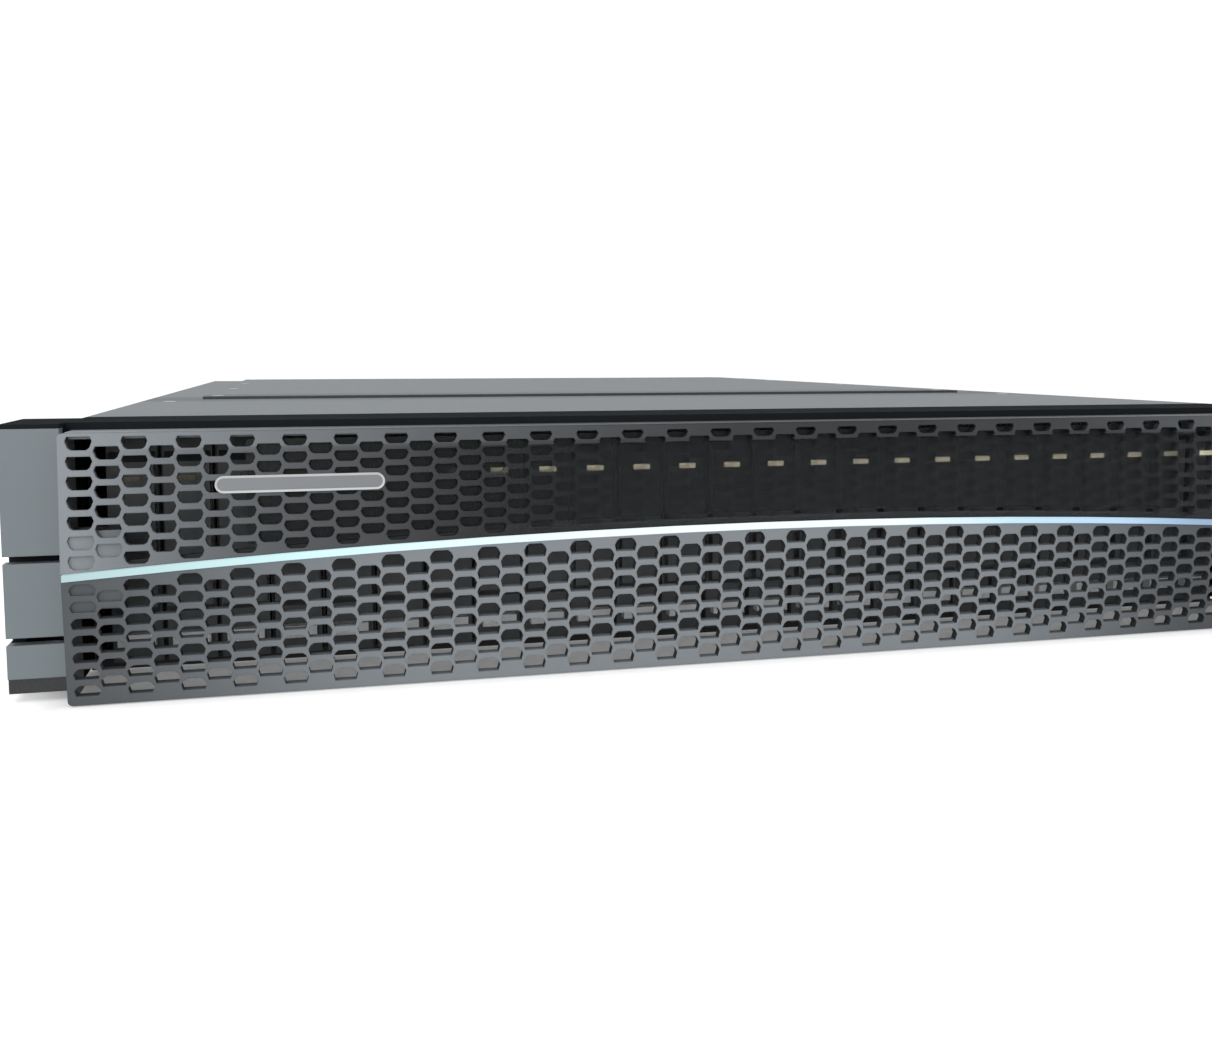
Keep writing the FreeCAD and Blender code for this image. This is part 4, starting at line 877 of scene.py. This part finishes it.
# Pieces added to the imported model

def piece(name, shape, material, body):
    """Makes an object of a finished shape, dresses it and joins it to a body."""
    bmesh.ops.recalc_face_normals(shape, faces=shape.faces)
    mesh = bpy.data.meshes.new(name)
    shape.to_mesh(mesh)
    shape.free()
    mesh.materials.append(material)
    obj = bpy.data.objects.new(name, mesh)
    bpy.context.scene.collection.objects.link(obj)
    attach(obj, body)
    return obj


def badge():
    """A blank plate with a raised rim on the upper grille."""
    width = BADGE_RIGHT - BADGE_LEFT
    radius = BADGE_HEIGHT / 2
    points = []
    for middle, start in ((width / 2 - radius, -90), (radius - width / 2, 90)):
        for step in range(BADGE_STEPS + 1):
            angle = math.radians(start + 180 * step / BADGE_STEPS)
            points.append((middle + radius * math.cos(angle), radius * math.sin(angle)))
    lean = math.tan(GRILLE_LEAN)
    centre = (BADGE_LEFT + BADGE_RIGHT) / 2
    shape = bmesh.new()
    corners = []
    for x, rise in points:
        z = BADGE_Z + rise
        corners.append(shape.verts.new((centre + x, RIDGE_Y + (z - RIDGE_Z) * lean, z)))
    face = shape.faces.new(corners)
    raised = bmesh.ops.extrude_face_region(shape, geom=[face])["geom"]
    moving = [item for item in raised if isinstance(item, bmesh.types.BMVert)]
    front = [item for item in raised if isinstance(item, bmesh.types.BMFace)]
    bmesh.ops.translate(shape, verts=moving, vec=(0, -BADGE_THICKNESS, 0))
    bmesh.ops.inset_region(shape, faces=front, thickness=BADGE_RIM / 3)
    bmesh.ops.inset_region(shape, faces=front, thickness=BADGE_RIM, depth=-BADGE_THICKNESS / 4)
    for face in front:
        face.material_index = 1
    plate = piece("badge", shape, badge_metal(), "bezel")
    plate.data.materials.append(badge_field())


def turned(shape, profile, place, axis):
    """Adds a body turned around an axis through a place; the profile holds (radius, height) pairs."""
    side = Vector((0, 0, 1))
    other = axis.cross(side)
    rings = []
    for radius, height in profile:
        middle = Vector(place) + axis * height
        if radius == 0:
            rings.append([shape.verts.new(middle)])
            continue
        ring = []
        for step in range(TURN_STEPS):
            angle = 2 * math.pi * step / TURN_STEPS
            offset = radius * (math.cos(angle) * side + math.sin(angle) * other)
            ring.append(shape.verts.new(middle + offset))
        rings.append(ring)
    for first, second in zip(rings, rings[1:]):
        for step in range(TURN_STEPS):
            after = (step + 1) % TURN_STEPS
            corners = [first[step % len(first)], first[after % len(first)],
                       second[after % len(second)], second[step % len(second)]]
            shape.faces.new(list(dict.fromkeys(corners)))


def dome(radius, proud):
    """Profile of a low dome on a flat foot."""
    arc = []
    for step in range(DOME_STEPS):
        angle = math.radians(90 * step / DOME_STEPS)
        arc.append((radius * math.cos(angle), proud * math.sin(angle)))
    return [(0, 0)] + arc + [(0, proud)]


def screw_profile():
    """Profile of a round screw head with a socket."""
    edge = SCREW_PROUD / 4
    bottom = SCREW_PROUD / 3
    return [(0, 0), (SCREW_RADIUS, 0), (SCREW_RADIUS, SCREW_PROUD - edge),
            (SCREW_RADIUS - edge, SCREW_PROUD), (SCREW_SOCKET, SCREW_PROUD),
            (SCREW_SOCKET, bottom), (0, bottom)]


def side_details(metal):
    """Rail studs and rivets on the outside of the side walls."""
    stud = [(0, 0), (STUD_NECK, 0), (STUD_NECK, STUD_REACH / 2), (STUD_HEAD, STUD_REACH / 2),
            (STUD_HEAD, STUD_REACH * STUD_EDGE), (STUD_HEAD * STUD_EDGE, STUD_REACH), (0, STUD_REACH)]
    studs = bmesh.new()
    rivets = bmesh.new()
    for side in (-1, 1):
        out = Vector((side, 0, 0))
        for index in range(STUD_COUNT):
            turned(studs, stud, (side * SIDE_X, STUD_FIRST_Y + index * STUD_PITCH, STUD_Z), out)
        for index in range(RIVET_COUNT):
            for z in RIVET_ROWS:
                place = (side * SIDE_X, RIVET_FIRST_Y + index * RIVET_PITCH, z)
                turned(rivets, dome(RIVET_RADIUS, RIVET_PROUD), place, out)
    piece("rail_studs", studs, metal, "chassis")
    piece("side_rivets", rivets, metal, "chassis")


def controller_details(letter, metal, green, amber):
    """Panel screws and status lamps on the rear of a controller."""
    body = "controller_" + letter
    low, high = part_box(body)
    back = Vector((0, 1, 0))
    screws = bmesh.new()
    for x in PANEL_SCREW_X:
        turned(screws, screw_profile(), (x, REAR_FACE, low.z + PANEL_SCREW_RISE), back)
    piece("panel_screws_" + letter, screws, metal, body)
    for index, (name, lens) in enumerate((("power", green), ("fault", amber), ("link", green))):
        lamp = bmesh.new()
        place = (LENS_X - index * LENS_PITCH, REAR_FACE, low.z + LENS_RISE)
        turned(lamp, dome(LENS_RADIUS, LENS_PROUD), place, back)
        piece("lamp_" + letter + "_" + name, lamp, lens, body)


def power_details(hand, metal, green):
    """Panel screws and a status lamp on the rear of a power unit."""
    body = "power_unit_" + hand
    low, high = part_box(body)
    back = Vector((0, 1, 0))
    screws = bmesh.new()
    for x in (low.x + POWER_SCREW_INSET, high.x - POWER_SCREW_INSET):
        turned(screws, screw_profile(), (x, REAR_FACE, high.z - POWER_SCREW_RISE), back)
    piece("power_screws_" + hand, screws, metal, body)
    lamp = bmesh.new()
    outer = low.x + POWER_LENS_INSET if hand == "left" else high.x - POWER_LENS_INSET
    turned(lamp, dome(LENS_RADIUS, LENS_PROUD), (outer, REAR_FACE, POWER_LENS_Z), back)
    piece("power_lamp_" + hand, lamp, green, body)


def add_pieces():
    """Adds what is too small for the solids."""
    metal = fastener_steel()
    green = lens_plastic("green_lens", LENS_GREEN)
    amber = lens_plastic("amber_lens", LENS_AMBER)
    badge()
    side_details(metal)
    for letter in "ab":
        controller_details(letter, metal, green, amber)
    for hand in ("left", "right"):
        power_details(hand, metal, green)


# Studio

def background_rays(tree):
    """1 for what the camera sees itself, in a reflection or through glass, 0 for light on the object."""
    path = tree.nodes.new("ShaderNodeLightPath")
    seen = path.outputs["Is Camera Ray"]
    for name in ("Is Glossy Ray", "Is Transmission Ray"):
        seen = combined(tree, "MAXIMUM", seen, path.outputs[name])
    return seen


def floor():
    """The pale floor, which looks white to the camera beside the unit and keeps its shadow, with a
    painted shade under the unit where its glow is dimmed.
    """
    material, tree, shader = started("floor")
    shader.inputs["Base Color"].default_value = (*FLOOR_COLOUR, 1)
    shader.inputs["Roughness"].default_value = FLOOR_ROUGH
    shader.inputs["Specular IOR Level"].default_value = 0.0
    shader.inputs["Emission Color"].default_value = (1, 1, 1, 1)
    # Painted shade: the glow is dimmed under the unit
    beside = mapped(tree, distance(tree, "X"), SHADE_HALF_WIDTH,
                    SHADE_HALF_WIDTH + SHADE_BLUR, SHADE_SHARE, 1)
    ahead = mapped(tree, distance(tree, "Y", SHADE_MIDDLE_Y), SHADE_HALF_DEPTH,
                   SHADE_HALF_DEPTH + SHADE_BLUR, SHADE_SHARE, 1)
    open_floor = combined(tree, "MAXIMUM", beside, ahead)
    seen = mapped(tree, background_rays(tree), 0, 1, 0, FLOOR_GLOW)
    tree.links.new(combined(tree, "MULTIPLY", seen, open_floor), shader.inputs["Emission Strength"])
    bpy.ops.mesh.primitive_plane_add(size=FLOOR_SIZE, location=(0, 0, -FLOOR_DROP))
    plane = bpy.context.object
    plane.name = "floor"
    plane.data.materials.append(material)


def world():
    """White to the eye and in reflections, softer as a light."""
    sky = bpy.data.worlds.new("studio")
    bpy.context.scene.world = sky
    sky.use_nodes = True
    tree = sky.node_tree
    light = tree.nodes["Background"]
    light.inputs["Color"].default_value = (1, 1, 1, 1)
    strength = mapped(tree, background_rays(tree), 0, 1, WORLD_LIGHT, 1)
    tree.links.new(strength, light.inputs["Strength"])


def area_light(name, place, size, power):
    """A soft square lamp that faces the object."""
    lamp = bpy.data.lights.new(name, "AREA")
    lamp.size = size
    lamp.energy = power
    obj = bpy.data.objects.new(name, lamp)
    bpy.context.scene.collection.objects.link(obj)
    obj.location = place
    middle = (cad_low + cad_high) / 2
    obj.rotation_euler = (middle - Vector(place)).to_track_quat("-Z", "Y").to_euler()


def camera():
    """The camera at the photograph's viewing angle."""
    lens = bpy.data.cameras.new("camera")
    lens.lens = CAMERA_LENS
    lens.shift_y = CAMERA_SHIFT_Y
    lens.clip_start = CAMERA_NEAR
    obj = bpy.data.objects.new("camera", lens)
    bpy.context.scene.collection.objects.link(obj)
    obj.location = CAMERA_PLACE
    obj.rotation_euler = (math.pi / 2 - CAMERA_DIP, 0, -CAMERA_YAW)
    bpy.context.scene.camera = obj


dress_all()
add_pieces()
floor()
world()
area_light("key", KEY_PLACE, KEY_SIZE, KEY_POWER)
area_light("fill", FILL_PLACE, FILL_SIZE, FILL_POWER)
camera()
bpy.context.scene.view_settings.view_transform = "Standard"
